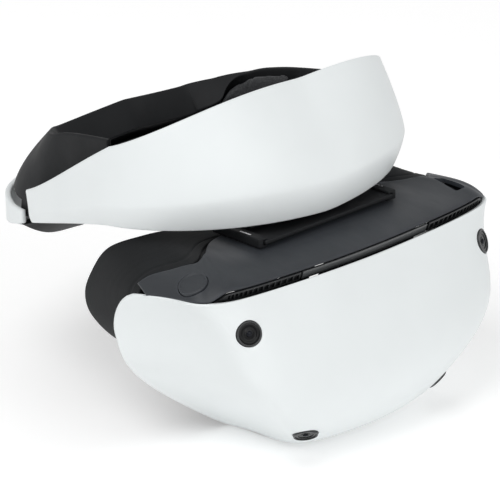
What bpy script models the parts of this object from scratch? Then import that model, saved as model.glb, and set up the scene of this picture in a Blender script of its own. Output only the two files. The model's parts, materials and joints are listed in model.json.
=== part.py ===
"""Console-type VR headset: a scope on slide rails under a halo headband with a dial-adjusted rear unit.

Lengths are in millimetres about the scope datum (the centre of the front shell's top edge, facing -Y),
and point() turns them into metres about the bottom centre of the whole headset.
"""
import math

import bmesh
import bpy
import numpy as np
from mathutils import Matrix, Vector

MM = 0.001
FRAME_Y = 91.7            # scope datum to the middle of the headset's length
FRAME_Z = 83.2            # scope datum to the surface the headset stands on
GAP = 0.4                 # clearance between neighbouring pieces
SHARP_ANGLE = 32.0

# front shell of the scope
SHELL_PLAN = [(0, -9.4), (22, -9.4), (80.5, -5.8), (104.4, 3.4), (95, 30.4), (117.8, 59)]
SHELL_WIDTH = [1.0, 0.865, 0.903, 0.572, 0.40, 0.385]     # width from top to bottom, as a share of the plan
SHELL_DEPTH = [1.0, 1.094, 1.35, 1.21, 1.006, 0.633]      # depth from top to bottom, about SHELL_BACK
SHELL_DROP = [0.0, 0.141, 0.45, 0.781, 1.0, 1.0]
SHELL_BACK = 63.5
SHELL_TOP = 8.6
SHELL_BOTTOM = -82.7
SHELL_WALL = 2.2
WING_DROP = 3.8
CORNER_TOP = (0.215, 0.098)      # rounding of the wing's upper rear corner
CORNER_LOW = (0.605, 0.088)      # and of its lower one
SCOPE_INSIDE = (0, 20, -35)

# top cover
COVER_REACH = 0.98               # share of the shell's top edge it runs along
COVER_WALL = 2.0
COVER_LIP = 2.6                  # width of the flat underside along the lip
COVER_LIFT = 4.0                 # height of the vent strip under the cover's front lip
COVER_RISE = 8.0                 # height of the cover over its lip, in the middle
COVER_RISE_SIDE = 9.0            # over the wings
COVER_RISE_END = 1.8             # and at the wings' ends
COVER_REAR = [(0, 46), (30, 46), (54, 43), (68, 32), (77, 27), (86, 33), (94, 42), (99, 47)]
TRIM_SPAN = 0.215                # half the gloss trim, along the shell's top edge
GRILLE_SPAN = (0.222, 0.6)
GRILLE_SLOTTED = 0.45             # how far out the slots go
GRILLE_SLOTS = 6
SCOPE_BUTTON = (-0.672, 0.385)   # where the button sits on the cover
SCOPE_BUTTON_R = 7.0
REST_PAD = (44.0, 16.0)          # flat face the headset stands on
REST_PAD_Y = 33.0
BOTTOM_BUTTONS = {"power_button": -30.0, "function_button": 30.0}     # and their places across
BOTTOM_BUTTON_Y = 30.0
BOTTOM_BUTTON_R = 3.0

# light shield: half outlines from the top middle down to the bottom middle, as x, y, z
SHIELD_FRONT = [(0, 46.5, 14.0), (32, 46.5, 14.2), (56, 43.5, 16), (77, 29.5, 17.0), (90, 40, 12.5),
                (95, 48, 3), (92.5, 49, -12), (84, 47, -30), (73, 46, -48), (56, 46, -64),
                (30, 48.5, -74), (0, 48.5, -75)]
SHIELD_BACK = [(0, 61, 15.5), (32, 61, 16), (60, 62.5, 20.5), (76, 68, 20), (81, 86, 10.5),
               (81.5, 98, -4.5), (81, 104, -18), (78.5, 102, -30), (71, 92, -42), (54, 80, -53),
               (32, 71, -55), (15, 64, -42), (0, 61, -31)]
SHIELD_WALL = 1.8
SHIELD_SWELL = 3.0
FACE_FRAME_Y = (39.0, 41.0)
FACE_FRAME_SCALE = 0.93
FACE_FRAME_HALF = 74.0
NOSE_NOTCH = (11.5, -74.0)       # radius and height of its centre

# cameras on the shell, as places across and down it
CAMERA_R = 5.9
CAMERA_PLACES = {"camera_upper_right": (-0.484, 0.130), "camera_upper_left": (0.484, 0.130),
                 "camera_lower_right": (-0.470, 0.739), "camera_lower_left": (0.470, 0.739)}

# scope inside
CHASSIS_Y = (-1.0, 0.6)
CHASSIS_HALF = [(58, 0), (62, -6), (60, -30), (50, -56), (20, -60)]
CHASSIS_WINDOW = 22.0
SCREW_PLACES = {"chassis_screw_right": (-54, -8), "chassis_screw_left": (54, -8),
                "chassis_screw_low": (0, -55)}
BOARD = (84.0, 1.4, 46.0)
BOARD_CENTRE = (0, -4.2, -29)
CHIPS = [((-22, -20), (15, 15)), ((18, -14), (9, 12)), ((30, -36), (8, 8)), ((-10, -44), (20, 5))]
SINK_CENTRE = (0, -8.2, -56.5)
SINK_FINS = 8
SINK_PITCH = 6.4
FAN_CENTRE = (0.0, -17.0, -29.0)
FAN_R = 17.5
FAN_DEPTH = 9.0
FAN_MOUTH = 11.5
FAN_BLADES = 9
EYE_X = 32.0
EYE_Z = -29.0
LENS_R = 21.0
BARREL_R = 23.5
BARREL_Y = 5.8
BARREL_LENGTH = 30.0
DISPLAY_SIDE = 47.0
SCREW_Y = 14.0
SCREW_Z = 6.6
SCREW_R = 1.8
SCREW_START = -58.0
SCREW_TURNS = 12
IPD_DIAL_X = 80.0
IPD_DIAL_R = 8.6
IPD_DIAL_WIDTH = 4.8
IPD_SLOT = 15.6
GUIDE_R = 1.5
GUIDE_Y = 14.0
GUIDE_Z = EYE_Z - BARREL_R - 4.2

# slide between the scope and the headband
RAIL_X = 43.0
RAIL_Y = (18.0, 50.0)
BRACKET_Y = (17.0, 45.0)
BRACKET_Z = (19.2, 21.2)

# headband
BAND_FRONT = 12.0
BAND_HALF = 88.5
BAND_ROUND = 68.5
BAND_POWER = 2.25
BAND_END = (74.5, 151.5)
BAND_SPLIT = 0.55
BAND_TOP = [87, 91.5, 73.5, 33, 21.5]
BAND_LOW = [24, 27, 30, 12.5, 3.5]
BAND_LEAN = (23.0, -3.6)
BAND_CURL = 5.6
BAND_CREASE = 0.71
BAND_WALL = 3.0
BAND_STEPS = 15                  # columns on each side of the middle
BAND_ROWS = [0, 0.06, 0.25, 0.48, 0.71, 0.86, 1]
LINER_WALL = 2.2
FOREHEAD_PAD = 11.0
HEAD_INSIDE = (0, 90, 30)
MOTOR = (30.4, 36.0, 30.8)
MOTOR_R = 3.8
MOTOR_LENGTH = 11.0
GLAND = (79.0, 128.0, 8.6)

# rear unit
REAR_PLAN = [(76.5, 93), (74.5, 128), (74.5, 152), (69.5, 172.5), (54, 191), (27, 200), (0, 203)]
REAR_TOP = [61, 56.5, 52, 49, 46.3, 47.4, 50.5]
REAR_LOW = [24, 14, 6, 0, -11, -26, -30]
REAR_LEAN = [0, 1, 5, 16, 23.5, 29, 31]
REAR_LEAN_FROM = 8.0
REAR_SWEEP = 8.0                 # how far the top edge is drawn forward as well
REAR_UNDERCUT = 8.0              # rise of the lower edge towards the head
REAR_COVER_TOP = [9, 9, 9.5, 11, 17, 21]
REAR_COVER_LOW = [2, -3, -8, -18, -25.5, -27]
REAR_COVER_REACH = 0.625         # share of the rear unit that it covers
REAR_WALL = 3.0
REAR_PAD = (7.0, 3.0)            # thickness at the wings, and what the back adds
DIAL_BACK = 203.8
DIAL_Z = -1.0
DIAL_R = 17.0
DIAL_RIDGES = 16
RACK_CENTRE_Y = 125.0
RACK_R = 70.0
RACK_TEETH = 18
RACK_START = 25.0
RACK_TAIL = 36.0
RACK_POCKET = (61.0, -3.3, 31.0)     # half its angle, and its radii from the racks
RACK_POCKET_Z = (-13.0, 13.0)        # from the dial's height
PINION_WELL = (187.5, 7.5)           # where it starts and its radius
PINION_R = 6.0
PINION_TEETH = 12
PINION_Y = (192.0, 198.0)
JACK = (26.0, 187.5)

# the pieces that slide with the scope
SCOPE_PIECES = ["front_shell", "top_cover", "trim_strip", "vent_grille_right", "vent_grille_left",
                "bottom_cover", "light_shield", "face_frame", "chassis", "main_board", "heat_sink",
                "fan_housing", "guide_rod", "proximity_sensor", "microphone", "slide_rail_right",
                "slide_rail_left", *SCREW_PLACES, *CAMERA_PLACES,
                *[name + "_window" for name in CAMERA_PLACES]]


def point(p):
    """Millimetres about the scope datum to metres about the headset's origin."""
    return Vector((p[0] * MM, (p[1] - FRAME_Y) * MM, (p[2] + FRAME_Z) * MM))


# ---------------------------------------------------------------- curves
def bspline(control, t):
    """Clamped cubic B-spline of the control values at each t of 0 to 1."""
    control = np.asarray(control, float)
    t = np.clip(np.asarray(t, float), 0, 1 - 1e-9)
    knots = np.concatenate([np.zeros(3), np.linspace(0, 1, len(control) - 2), np.ones(3)])
    basis = [((knots[i] <= t) & (t < knots[i + 1])).astype(float) for i in range(len(knots) - 1)]
    for k in (1, 2, 3):
        raised = []
        for i in range(len(knots) - 1 - k):
            before = knots[i + k] - knots[i]
            after = knots[i + k + 1] - knots[i + 1]
            left = (t - knots[i]) / before * basis[i] if before else 0 * t
            right = (knots[i + k + 1] - t) / after * basis[i + 1] if after else 0 * t
            raised.append(left + right)
        basis = raised
    return sum(np.multiply.outer(b, c) for b, c in zip(basis, control))


def through(points, t):
    """Catmull-Rom curve through the points at each t of 0 to 1."""
    points = np.asarray(points, float)
    padded = np.concatenate([[2 * points[0] - points[1]], points, [2 * points[-1] - points[-2]]])
    place = np.clip(np.asarray(t, float), 0, 1) * (len(points) - 1)
    k = np.minimum(place.astype(int), len(points) - 2)
    f = (place - k).reshape(np.shape(place) + (1,) * (points.ndim - 1))
    a, b, c, d = padded[k], padded[k + 1], padded[k + 2], padded[k + 3]
    even = (2 * a - 5 * b + 4 * c - d) * f ** 2
    odd = (3 * b - a - 3 * c + d) * f ** 3
    return 0.5 * (2 * b + (c - a) * f + even + odd)


def smooth(x):
    """An even step from 0 to 1."""
    x = np.clip(x, 0, 1)
    return x * x * (3 - 2 * x)


def mirrored(half, u):
    """A half curve's points, read at |u|, with X given u's sign."""
    side = np.where(np.asarray(u) < 0, -1.0, 1.0)
    return np.stack([half[..., 0] * side, *np.moveaxis(half[..., 1:], -1, 0)], -1)


def outward(grid):
    """Unit normals of a grid of points, rows along u and columns along v."""
    du = np.gradient(grid, axis=0)
    dv = np.gradient(grid, axis=1)
    normal = np.cross(du, dv)
    return normal / np.linalg.norm(normal, axis=-1, keepdims=True)


def facing(grid, normal, inside):
    """The normals turned so that they point away from the point inside."""
    away = np.sum(normal * (grid - np.asarray(inside, float)), axis=-1).sum()
    return normal if away > 0 else -normal


# ---------------------------------------------------------------- objects
def material(name, colour, roughness, metallic=0.0):
    made = bpy.data.materials.get(name) or bpy.data.materials.new(name)
    made.use_nodes = True
    shader = made.node_tree.nodes["Principled BSDF"]
    shader.inputs["Base Color"].default_value = (*colour, 1.0)
    shader.inputs["Roughness"].default_value = roughness
    shader.inputs["Metallic"].default_value = metallic
    return made


WHITE = ("white_shell", (0.84, 0.87, 0.87), 0.42)
DARK = ("dark_plastic", (0.045, 0.05, 0.055), 0.45)
GLOSS = ("gloss_black", (0.02, 0.02, 0.022), 0.12)
RUBBER = ("soft_rubber", (0.03, 0.032, 0.036), 0.75)
FOAM = ("pad_skin", (0.035, 0.036, 0.04), 0.65)
METAL = ("steel", (0.6, 0.6, 0.62), 0.3, 1.0)
ALLOY = ("alloy", (0.5, 0.51, 0.53), 0.45, 1.0)
PCB = ("circuit_board", (0.02, 0.09, 0.05), 0.5)
LENS = ("lens", (0.75, 0.78, 0.8), 0.05)
SCREEN = ("screen", (0.01, 0.01, 0.012), 0.08)
GREY = ("grey_plastic", (0.3, 0.31, 0.32), 0.5)


def add(name, mesh_bm, look):
    """A new object from a bmesh in metres, with its faces turned outward."""
    bmesh.ops.recalc_face_normals(mesh_bm, faces=mesh_bm.faces)
    mesh = bpy.data.meshes.new(name)
    mesh_bm.to_mesh(mesh)
    mesh_bm.free()
    mesh.shade_smooth()
    mesh.set_sharp_from_angle(angle=math.radians(SHARP_ANGLE))
    made = bpy.data.objects.new(name, mesh)
    bpy.context.collection.objects.link(made)
    mesh.materials.append(material(*look))
    return made


def sheet_solid(name, outer, inner, look, ring=False):
    """The closed body between two grids of points; ring joins the last row to the first."""
    rows, columns = outer.shape[:2]
    bm = bmesh.new()
    front = [[bm.verts.new(point(p)) for p in row] for row in outer]
    back = [[bm.verts.new(point(p)) for p in row] for row in inner]
    last = rows if ring else rows - 1
    for i in range(last):
        j = (i + 1) % rows
        for k in range(columns - 1):
            bm.faces.new((front[i][k], front[j][k], front[j][k + 1], front[i][k + 1]))
            bm.faces.new((back[i][k], back[i][k + 1], back[j][k + 1], back[j][k]))
        for k in (0, columns - 1):
            bm.faces.new((front[i][k], back[i][k], back[j][k], front[j][k]))
    if not ring:
        for i in (0, rows - 1):
            for k in range(columns - 1):
                bm.faces.new((front[i][k], front[i][k + 1], back[i][k + 1], back[i][k]))
    return add(name, bm, look)


def wall(name, grid, depth, thickness, look, inside, ring=False):
    """A wall that starts depth below a surface's grid and is thickness deep."""
    normal = facing(grid, outward(grid), inside)
    if ring:
        closed = np.concatenate([grid[-1:], grid, grid[:1]])
        normal = facing(grid, outward(closed)[1:-1], inside)
    return sheet_solid(name, grid - normal * depth, grid - normal * (depth + thickness), look, ring)


def axis_frame(base, direction):
    """A matrix whose Z runs along direction from base, both about the scope datum."""
    turn = Vector(direction).normalized().to_track_quat("Z", "Y").to_matrix().to_4x4()
    return Matrix.Translation(point(base)) @ turn


def turned(name, profile, base, direction, look, sides=32, ridges=0, ridge=0.0):
    """A closed turned body: profile is (radius, height) pairs, in mm along direction from base."""
    widest = max(radius for radius, height in profile)
    bm = bmesh.new()
    rings = []
    for radius, height in profile:
        if radius < 1e-6:
            rings.append([bm.verts.new((0, 0, height * MM))])
            continue
        ring = []
        for k in range(sides):
            angle = 2 * math.pi * k / sides
            wide = radius + ridge * math.cos(ridges * angle) if radius == widest else radius
            ring.append(bm.verts.new(Vector((wide * math.cos(angle), wide * math.sin(angle), height)) * MM))
        rings.append(ring)
    solid = profile[0][0] < 1e-6 and profile[-1][0] < 1e-6
    pairs = list(zip(rings, rings[1:]))
    if not solid:
        pairs.append((rings[-1], rings[0]))
    for low, high in pairs:
        for k in range(sides):
            n = (k + 1) % sides
            corners = [low[k % len(low)], low[n % len(low)], high[n % len(high)], high[k % len(high)]]
            corners = list(dict.fromkeys(corners))
            if len(corners) > 2:
                bm.faces.new(corners)
    bm.transform(axis_frame(base, direction))
    return add(name, bm, look)


def disc_profile(radius, height, edge=0.0):
    """Outline of a plain disc with a small chamfer at its top edge."""
    return [(0, 0), (radius, 0), (radius, height - edge), (radius - edge, height), (0, height)]


def tube_profile(outer, bore, height):
    return [(outer, 0), (outer, height), (bore, height), (bore, 0)]


def block(name, centre, size, look, bevel=0.0, turn=None):
    """A box of the size given, with bevelled edges."""
    bm = bmesh.new()
    bmesh.ops.create_cube(bm, size=1.0)
    bm.transform(Matrix.Diagonal((size[0] * MM, size[1] * MM, size[2] * MM, 1.0)))
    if bevel:
        bmesh.ops.bevel(bm, geom=bm.edges[:], offset=bevel * MM, segments=1, affect="EDGES", profile=0.5)
    if turn is not None:
        bm.transform(turn)
    bm.transform(Matrix.Translation(point(centre)))
    return add(name, bm, look)


def plate(name, outline, y_from, y_to, look):
    """A plate of the XZ outline given, between two Y values."""
    bm = bmesh.new()
    front = [bm.verts.new(point((x, y_from, z))) for x, z in outline]
    back = [bm.verts.new(point((x, y_to, z))) for x, z in outline]
    bm.faces.new(front)
    bm.faces.new(back[::-1])
    count = len(outline)
    for k in range(count):
        n = (k + 1) % count
        bm.faces.new((front[k], back[k], back[n], front[n]))
    return add(name, bm, look)


def cut(target, cutter, mode="DIFFERENCE"):
    """Cuts (or joins) a helper shape from the target and hides the helper."""
    cutter.hide_render = True
    cutter.display_type = "WIRE"
    step = target.modifiers.new(cutter.name, "BOOLEAN")
    step.operation = mode
    step.object = cutter
    step.solver = "EXACT"
    return target


def helper(made):
    made.name = "helper_" + made.name
    return made


def join(target, *pieces):
    for piece in pieces:
        cut(target, helper(piece), "UNION")
    return target


# ---------------------------------------------------------------- surfaces
def shell_surface(u, h):
    """Outer surface of the front shell: u -1 to 1 across from wing to wing, h 0 to 1 from top to bottom."""
    high, high_cut = CORNER_TOP
    low, low_cut = CORNER_LOW
    upper = np.clip((high - h) / high, 0, 1)
    lower = np.clip((h - low) / (1 - low), 0, 1)
    reach = 1 - high_cut * (1 - np.sqrt(1 - upper ** 2)) - low_cut * lower ** 2
    across = u * reach
    plan = mirrored(bspline(SHELL_PLAN, np.abs(across)), across)
    x = plan[..., 0] * bspline(SHELL_WIDTH, h)
    y = SHELL_BACK + (plan[..., 1] - SHELL_BACK) * bspline(SHELL_DEPTH, h)
    top = SHELL_TOP - WING_DROP * np.clip((np.abs(across) - 0.5) / 0.5, 0, 1) ** 1.5
    z = top + (SHELL_BOTTOM - top) * bspline(SHELL_DROP, h)
    return np.stack([x, y, z], -1)


def shell_point(u, h):
    """A point of the front shell and its outward normal."""
    step = 1e-3
    here = shell_surface(np.array(u), np.array(h))
    along = shell_surface(np.array(u + step), np.array(h)) - here
    down = shell_surface(np.array(u), np.array(h + step)) - here
    normal = np.cross(down, along)
    return here, normal / np.linalg.norm(normal)


def cover_lift(u):
    """Height of the vent strip at u along the shell's top edge."""
    return COVER_LIFT * smooth((0.62 - np.abs(u)) / 0.14)


def cover_surface(u, t):
    """Top cover: t 0 at the lip over the shell's top edge, 1 at the rear edge."""
    edge = shell_surface(u, np.zeros_like(u))
    rear = mirrored(through(COVER_REAR, np.abs(u)), u)
    inset = edge[..., :2] + (rear - edge[..., :2]) * 0.01
    inset[..., 1] += 1.2
    flat = inset + (rear - inset) * t[..., None]
    run = np.linalg.norm(flat - inset, axis=-1)
    side = np.clip((np.abs(u) - 0.35) / 0.3, 0, 1)
    lift = cover_lift(u)
    end = np.clip((np.abs(u) - 0.62) / 0.38, 0, 1) ** 1.2
    over_wing = COVER_RISE_SIDE + (COVER_RISE_END - COVER_RISE_SIDE) * end
    rise = (COVER_RISE - 0.9 * lift) * (1 - side) + over_wing * side
    length = 14.0 * (1 - side) + 8.0 * side
    z = edge[..., 2] + lift + rise * (1 - np.exp(-run / length))
    return np.concatenate([flat, z[..., None]], -1)


def band_plan(u):
    """The headband's plan at |u|: 0 at the forehead, 1 at the arm's end."""
    a = np.abs(u)
    turn = np.clip(a / BAND_SPLIT, 0, 1) * np.pi / 2
    x = BAND_HALF * np.sin(turn) ** (2 / BAND_POWER)
    y = BAND_FRONT + BAND_ROUND * (1 - np.cos(turn) ** (2 / BAND_POWER))
    f = np.clip((a - BAND_SPLIT) / (1 - BAND_SPLIT), 0, 1)
    x = x - (BAND_HALF - BAND_END[0]) * f ** 2
    y = y + (BAND_END[1] - BAND_FRONT - BAND_ROUND) * f
    return np.stack([x * np.where(u < 0, -1, 1), y], -1)


def band_surface(u, v):
    """Outer surface of the headband: u -1 to 1 from arm to arm, v 0 at the top edge, 1 at the bottom."""
    step = 2e-3
    plan = band_plan(u)
    along = band_plan(np.clip(u + step, -1, 1)) - band_plan(np.clip(u - step, -1, 1))
    along = along / np.linalg.norm(along, axis=-1, keepdims=True)
    normal = np.stack([along[..., 1], -along[..., 0]], -1)
    top = bspline(BAND_TOP, np.abs(u))
    low = bspline(BAND_LOW, np.abs(u))
    height = (top - low) / 60
    lean = BAND_LEAN[0] + (BAND_LEAN[1] - BAND_LEAN[0]) * np.abs(u)
    above = np.clip((BAND_CREASE - v) / BAND_CREASE, 0, 1)
    below = np.clip((v - BAND_CREASE) / (1 - BAND_CREASE), 0, 1)
    inward = lean * height * above ** 1.3 + BAND_CURL * height * below ** 1.5
    plan = plan - normal * inward[..., None]
    return np.concatenate([plan, (top + (low - top) * v)[..., None]], -1)


def rear_surface(w, z):
    """Outer surface of the rear unit: w -1 to 1 from wing tip to wing tip, 0 at the middle, at height z."""
    a = 1 - np.abs(w)
    step = 2e-3
    plan = mirrored(through(REAR_PLAN, a), w)
    ahead = mirrored(through(REAR_PLAN, 1 - np.abs(w + step)), w + step)
    behind = mirrored(through(REAR_PLAN, 1 - np.abs(w - step)), w - step)
    along = ahead - behind
    along[..., 1] *= smooth(np.abs(w) / 0.12)
    along = along / np.linalg.norm(along, axis=-1, keepdims=True)
    normal = np.stack([-along[..., 1], along[..., 0]], -1)
    rise = np.clip((z - REAR_LEAN_FROM) / (REAR_TOP[-1] - REAR_LEAN_FROM), 0, 1.3) ** 1.6
    plan = plan - normal * (through(REAR_LEAN, a) * rise)[..., None]
    plan[..., 1] -= REAR_SWEEP * smooth(a / 0.35) * rise
    return np.concatenate([plan, z[..., None]], -1)


def grid(u, v):
    return np.meshgrid(np.asarray(u, float), np.asarray(v, float), indexing="ij")


# ---------------------------------------------------------------- scope casing
def front_shell():
    u, h = grid(np.linspace(-1, 1, 29), np.linspace(0, 1, 10))
    outer = shell_surface(u, h)
    inner = outer - facing(outer, outward(outer), SCOPE_INSIDE) * SHELL_WALL
    inner[:, 0, 2] = np.minimum(inner[:, 0, 2], outer[:, 0, 2])
    made = sheet_solid("front_shell", outer, inner, WHITE)
    for name, place, normal in cameras():
        hole = turned(name + "_hole", disc_profile(CAMERA_R + GAP, 14), place - normal * 8, normal, DARK, 16)
        cut(made, helper(hole))


def top_cover():
    u, t = grid(np.linspace(-COVER_REACH, COVER_REACH, 29), np.linspace(0, 1, 5) ** 1.5)
    outer = cover_surface(u, t) + (0, 0, 2 * GAP)
    inner = outer - facing(outer, outward(outer), SCOPE_INSIDE) * COVER_WALL
    inward = (outer[:, 1] - outer[:, 0]) * (1, 1, 0)
    inner[:, 0] = outer[:, 0] + inward / np.linalg.norm(inward, axis=-1, keepdims=True) * COVER_LIP
    made = sheet_solid("top_cover", outer, inner, DARK)
    place, normal = scope_button_place()
    base = place - normal * 8
    hole = turned("scope_button_hole", disc_profile(SCOPE_BUTTON_R + GAP, 16), base, normal, DARK, 24)
    slot = block("dial_slot", (IPD_DIAL_X, SCREW_Y, 18), (IPD_DIAL_WIDTH + 2.4, IPD_SLOT, 16), DARK, 1.5)
    for tool in (hole, slot):
        cut(made, helper(tool))


def vent_strip():
    """The strip under the cover's front lip: a gloss trim in the middle and a grille on each side."""
    near, far = GRILLE_SPAN
    spans = {"trim_strip": (-TRIM_SPAN, TRIM_SPAN), "vent_grille_right": (-far, -near),
             "vent_grille_left": (near, far)}
    for name, (start, end) in spans.items():
        u, t = grid(np.linspace(start, end, 11), np.linspace(0, 1, 2))
        strip = shell_surface(u, np.zeros_like(u))
        strip[..., 0] *= 1 - 0.008 * (1 - t) - 0.024 * smooth((np.abs(u) - 0.45) / 0.15)
        strip[..., 1] += 1.0 + 1.6 * (1 - t)
        strip[..., 2] += (cover_lift(u) + GAP) * t - 2 * GAP
        made = sheet_solid(name, strip, strip + (0, 1.6, 0), GLOSS if name == "trim_strip" else DARK)
        if name != "trim_strip":
            vent_slots(made, 1 if start > 0 else -1)


def vent_slots(grille, side):
    for k, u in enumerate(side * np.linspace(GRILLE_SPAN[0] + 0.03, GRILLE_SLOTTED, GRILLE_SLOTS)):
        place = shell_surface(np.array(u), np.array(0.0)) + (0, 2.2, 1.3)
        cut(grille, helper(block(f"{grille.name}_slot_{k}", place, (2.4, 12, 1.6), DARK)))


def bottom_cover():
    """Closes the underside from the shell's lower edge to the light shield, with the rest face under it."""
    u, t = grid(np.linspace(-0.93, 0.93, 19), np.linspace(0, 1, 3))
    front = shell_surface(u, np.ones_like(u)) * (0.955, 1, 1) + (0, 1.4, 0.4)
    seat = SHIELD_FRONT[-1][1] - 1.5
    rear = np.stack([front[..., 0] * 0.96, np.full_like(u, seat), np.full_like(u, -77.5)], -1)
    surface = front + (rear - front) * t[..., None]
    made = sheet_solid("bottom_cover", surface, surface + (0, 0, SHELL_WALL), DARK)
    height = 4.6
    join(made, block("rest_pad", (0, REST_PAD_Y, height / 2 - FRAME_Z), (*REST_PAD, height), DARK, 1.0))
    for name, x in BOTTOM_BUTTONS.items():
        base = (x, BOTTOM_BUTTON_Y, -90)
        hole = turned(name + "_hole", disc_profile(BOTTOM_BUTTON_R + GAP, 16), base, (0, 0, 1), DARK, 20)
        cut(made, helper(hole))


def shield_loop(half, count):
    """A closed loop from a half outline, starting at the top middle and going round by +X."""
    f = 1 - np.abs(1 - 2 * np.arange(count) / count)
    side = np.where(np.arange(count) * 2 <= count, 1, -1)
    loop = through(half, f)
    loop[:, 0] = np.abs(loop[:, 0]) * side
    loop[[0, count // 2], 0] = 0.0
    return loop


def shield_surface(count, t):
    """The light shield's outer surface, from its seat on the scope to its free edge."""
    front = shield_loop(SHIELD_FRONT, count)
    back = shield_loop(SHIELD_BACK, count)
    middle = (front + back) / 2
    out = middle - middle.mean(axis=0)
    out[:, 1] = 0
    out = out / np.linalg.norm(out, axis=1, keepdims=True) * (0.35, 1, 0.35)
    flat = front[:, None] + (back - front)[:, None] * t[None, :, None]
    return flat + out[:, None] * SHIELD_SWELL * np.sin(np.pi * t)[None, :, None]


def light_shield():
    surface = shield_surface(32, np.linspace(0, 1, 5))
    wall("light_shield", surface, 0, SHIELD_WALL, RUBBER, (0, 60, -25), ring=True)


def face_frame():
    """The plate that carries the light shield, with an opening for each lens and a notch for the nose."""
    outline = shield_loop(SHIELD_FRONT, 40)
    x = np.clip(outline[:, 0] * FACE_FRAME_SCALE, -FACE_FRAME_HALF, FACE_FRAME_HALF)
    z = EYE_Z + (outline[:, 2] - EYE_Z) * FACE_FRAME_SCALE
    made = plate("face_frame", list(zip(x, z)), *FACE_FRAME_Y, DARK)
    y = FACE_FRAME_Y[0] - 5
    for side in (-1, 1):
        centre = (side * EYE_X, y, EYE_Z)
        hole = turned(f"lens_hole_{side}", disc_profile(BARREL_R + 0.6, 12), centre, (0, 1, 0), DARK)
        widen = Matrix.Diagonal((1.17, 1, 1, 1))
        hole.data.transform(Matrix.Translation(point(centre)) @ widen @ Matrix.Translation(-point(centre)))
        cut(made, helper(hole))
    radius, height = NOSE_NOTCH
    cut(made, helper(turned("nose_hole", disc_profile(radius, 12), (0, y, height), (0, 1, 0), DARK, 24)))


# ---------------------------------------------------------------- scope inside
def cameras():
    for name, (u, h) in CAMERA_PLACES.items():
        place, normal = shell_point(u, h)
        yield name, place, normal if normal[1] < 0 else -normal


def tracking_cameras():
    for name, place, normal in cameras():
        window = [(0, 0), (CAMERA_R, 0), (CAMERA_R, 1.4), (4.4, 1.4), (3.9, 0.8), (0, 0.8)]
        turned(name + "_window", window, place - normal * 1.5, normal, GLOSS, sides=16)
        barrel = turned(name, disc_profile(4.0, 5.6, 0.4), place - normal * 7.4, normal, DARK, sides=12)
        base = block(name + "_base", (0, 0, 0), (9, 9, 2.4), DARK)
        seat = axis_frame(place - normal * 8.0, normal)
        base.data.transform(seat @ Matrix.Translation(-point((0, 0, 0))))
        join(barrel, base)


def chassis():
    """The alloy plate that everything in the scope is fixed to."""
    half = CHASSIS_HALF
    outline = half + [(-x, z) for x, z in reversed(half)]
    made = plate("chassis", outline, *CHASSIS_Y, ALLOY)
    for side in (-1, 1):
        size = (CHASSIS_WINDOW, 8, CHASSIS_WINDOW)
        cut(made, helper(block(f"window_{side}", (side * 30, 0, -30), size, ALLOY, 1.5)))
    for name, (x, z) in SCREW_PLACES.items():
        cut(made, helper(turned(name + "_hole", disc_profile(1.4, 8), (x, -4, z), (0, 1, 0), ALLOY, 12)))
        profile = [(0, 0), (2.6, 0.3), (2.6, 1.6), (1.1, 1.6), (1.1, 5.0), (0, 5.0)]
        turned(name, profile, (x, CHASSIS_Y[0] - 1.9, z), (0, 1, 0), METAL, sides=12)


def main_board():
    made = block("main_board", BOARD_CENTRE, BOARD, PCB)
    face = BOARD_CENTRE[1] - BOARD[1] / 2
    join(made, *[block(f"chip_{k}", (x, face - 0.6, z), (wide, 1.6, tall), PCB)
                 for k, ((x, z), (wide, tall)) in enumerate(CHIPS)])


def heat_sink():
    x, y, z = SINK_CENTRE
    width = SINK_PITCH * (SINK_FINS - 1) + 4
    made = block("heat_sink", SINK_CENTRE, (width, 1.4, 9), ALLOY)
    first = x - SINK_PITCH * (SINK_FINS - 1) / 2
    join(made, *[block(f"fin_{k}", (first + SINK_PITCH * k, y - 3.1, z), (1.2, 5.6, 9), ALLOY)
                 for k in range(SINK_FINS)])


def fan():
    x, y, z = FAN_CENTRE
    mouth = FAN_MOUTH
    outline = [(FAN_R, 0), (FAN_R, FAN_DEPTH), (mouth, FAN_DEPTH), (mouth, FAN_DEPTH - 1),
               (FAN_R - 1.1, FAN_DEPTH - 1), (FAN_R - 1.1, 1), (mouth, 1), (mouth, 0)]
    housing = turned("fan_housing", outline, FAN_CENTRE, (0, 1, 0), GREY, sides=20)
    spider = block("fan_spider", (x, y + FAN_DEPTH - 0.7, z), (2 * mouth + 1, 0.8, 3.0), GREY)
    pin = turned("fan_pin", disc_profile(0.9, FAN_DEPTH - 3), (x, y + 2, z), (0, 1, 0), GREY, sides=12)
    join(housing, spider, pin)
    rotor = turned("fan_rotor", tube_profile(5.0, 1.3, 5.0), (x, y + 2.2, z), (0, 1, 0), DARK, 20)
    blades = []
    for k in range(FAN_BLADES):
        spin = Matrix.Rotation(2 * math.pi * k / FAN_BLADES, 4, "Y")
        turn = spin @ Matrix.Translation((9.6 * MM, 0, 0)) @ Matrix.Rotation(math.radians(24), 4, "X")
        blades.append(block(f"blade_{k}", (x, y + 4.7, z), (11.0, 4.6, 0.9), DARK, turn=turn))
    join(rotor, *blades)


def cross_bore(name, rod, base):
    """A bore that clears a rod of that radius running along X."""
    return turned(name, disc_profile(rod + GAP, 60), base, (1, 0, 0), DARK, 12)


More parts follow.
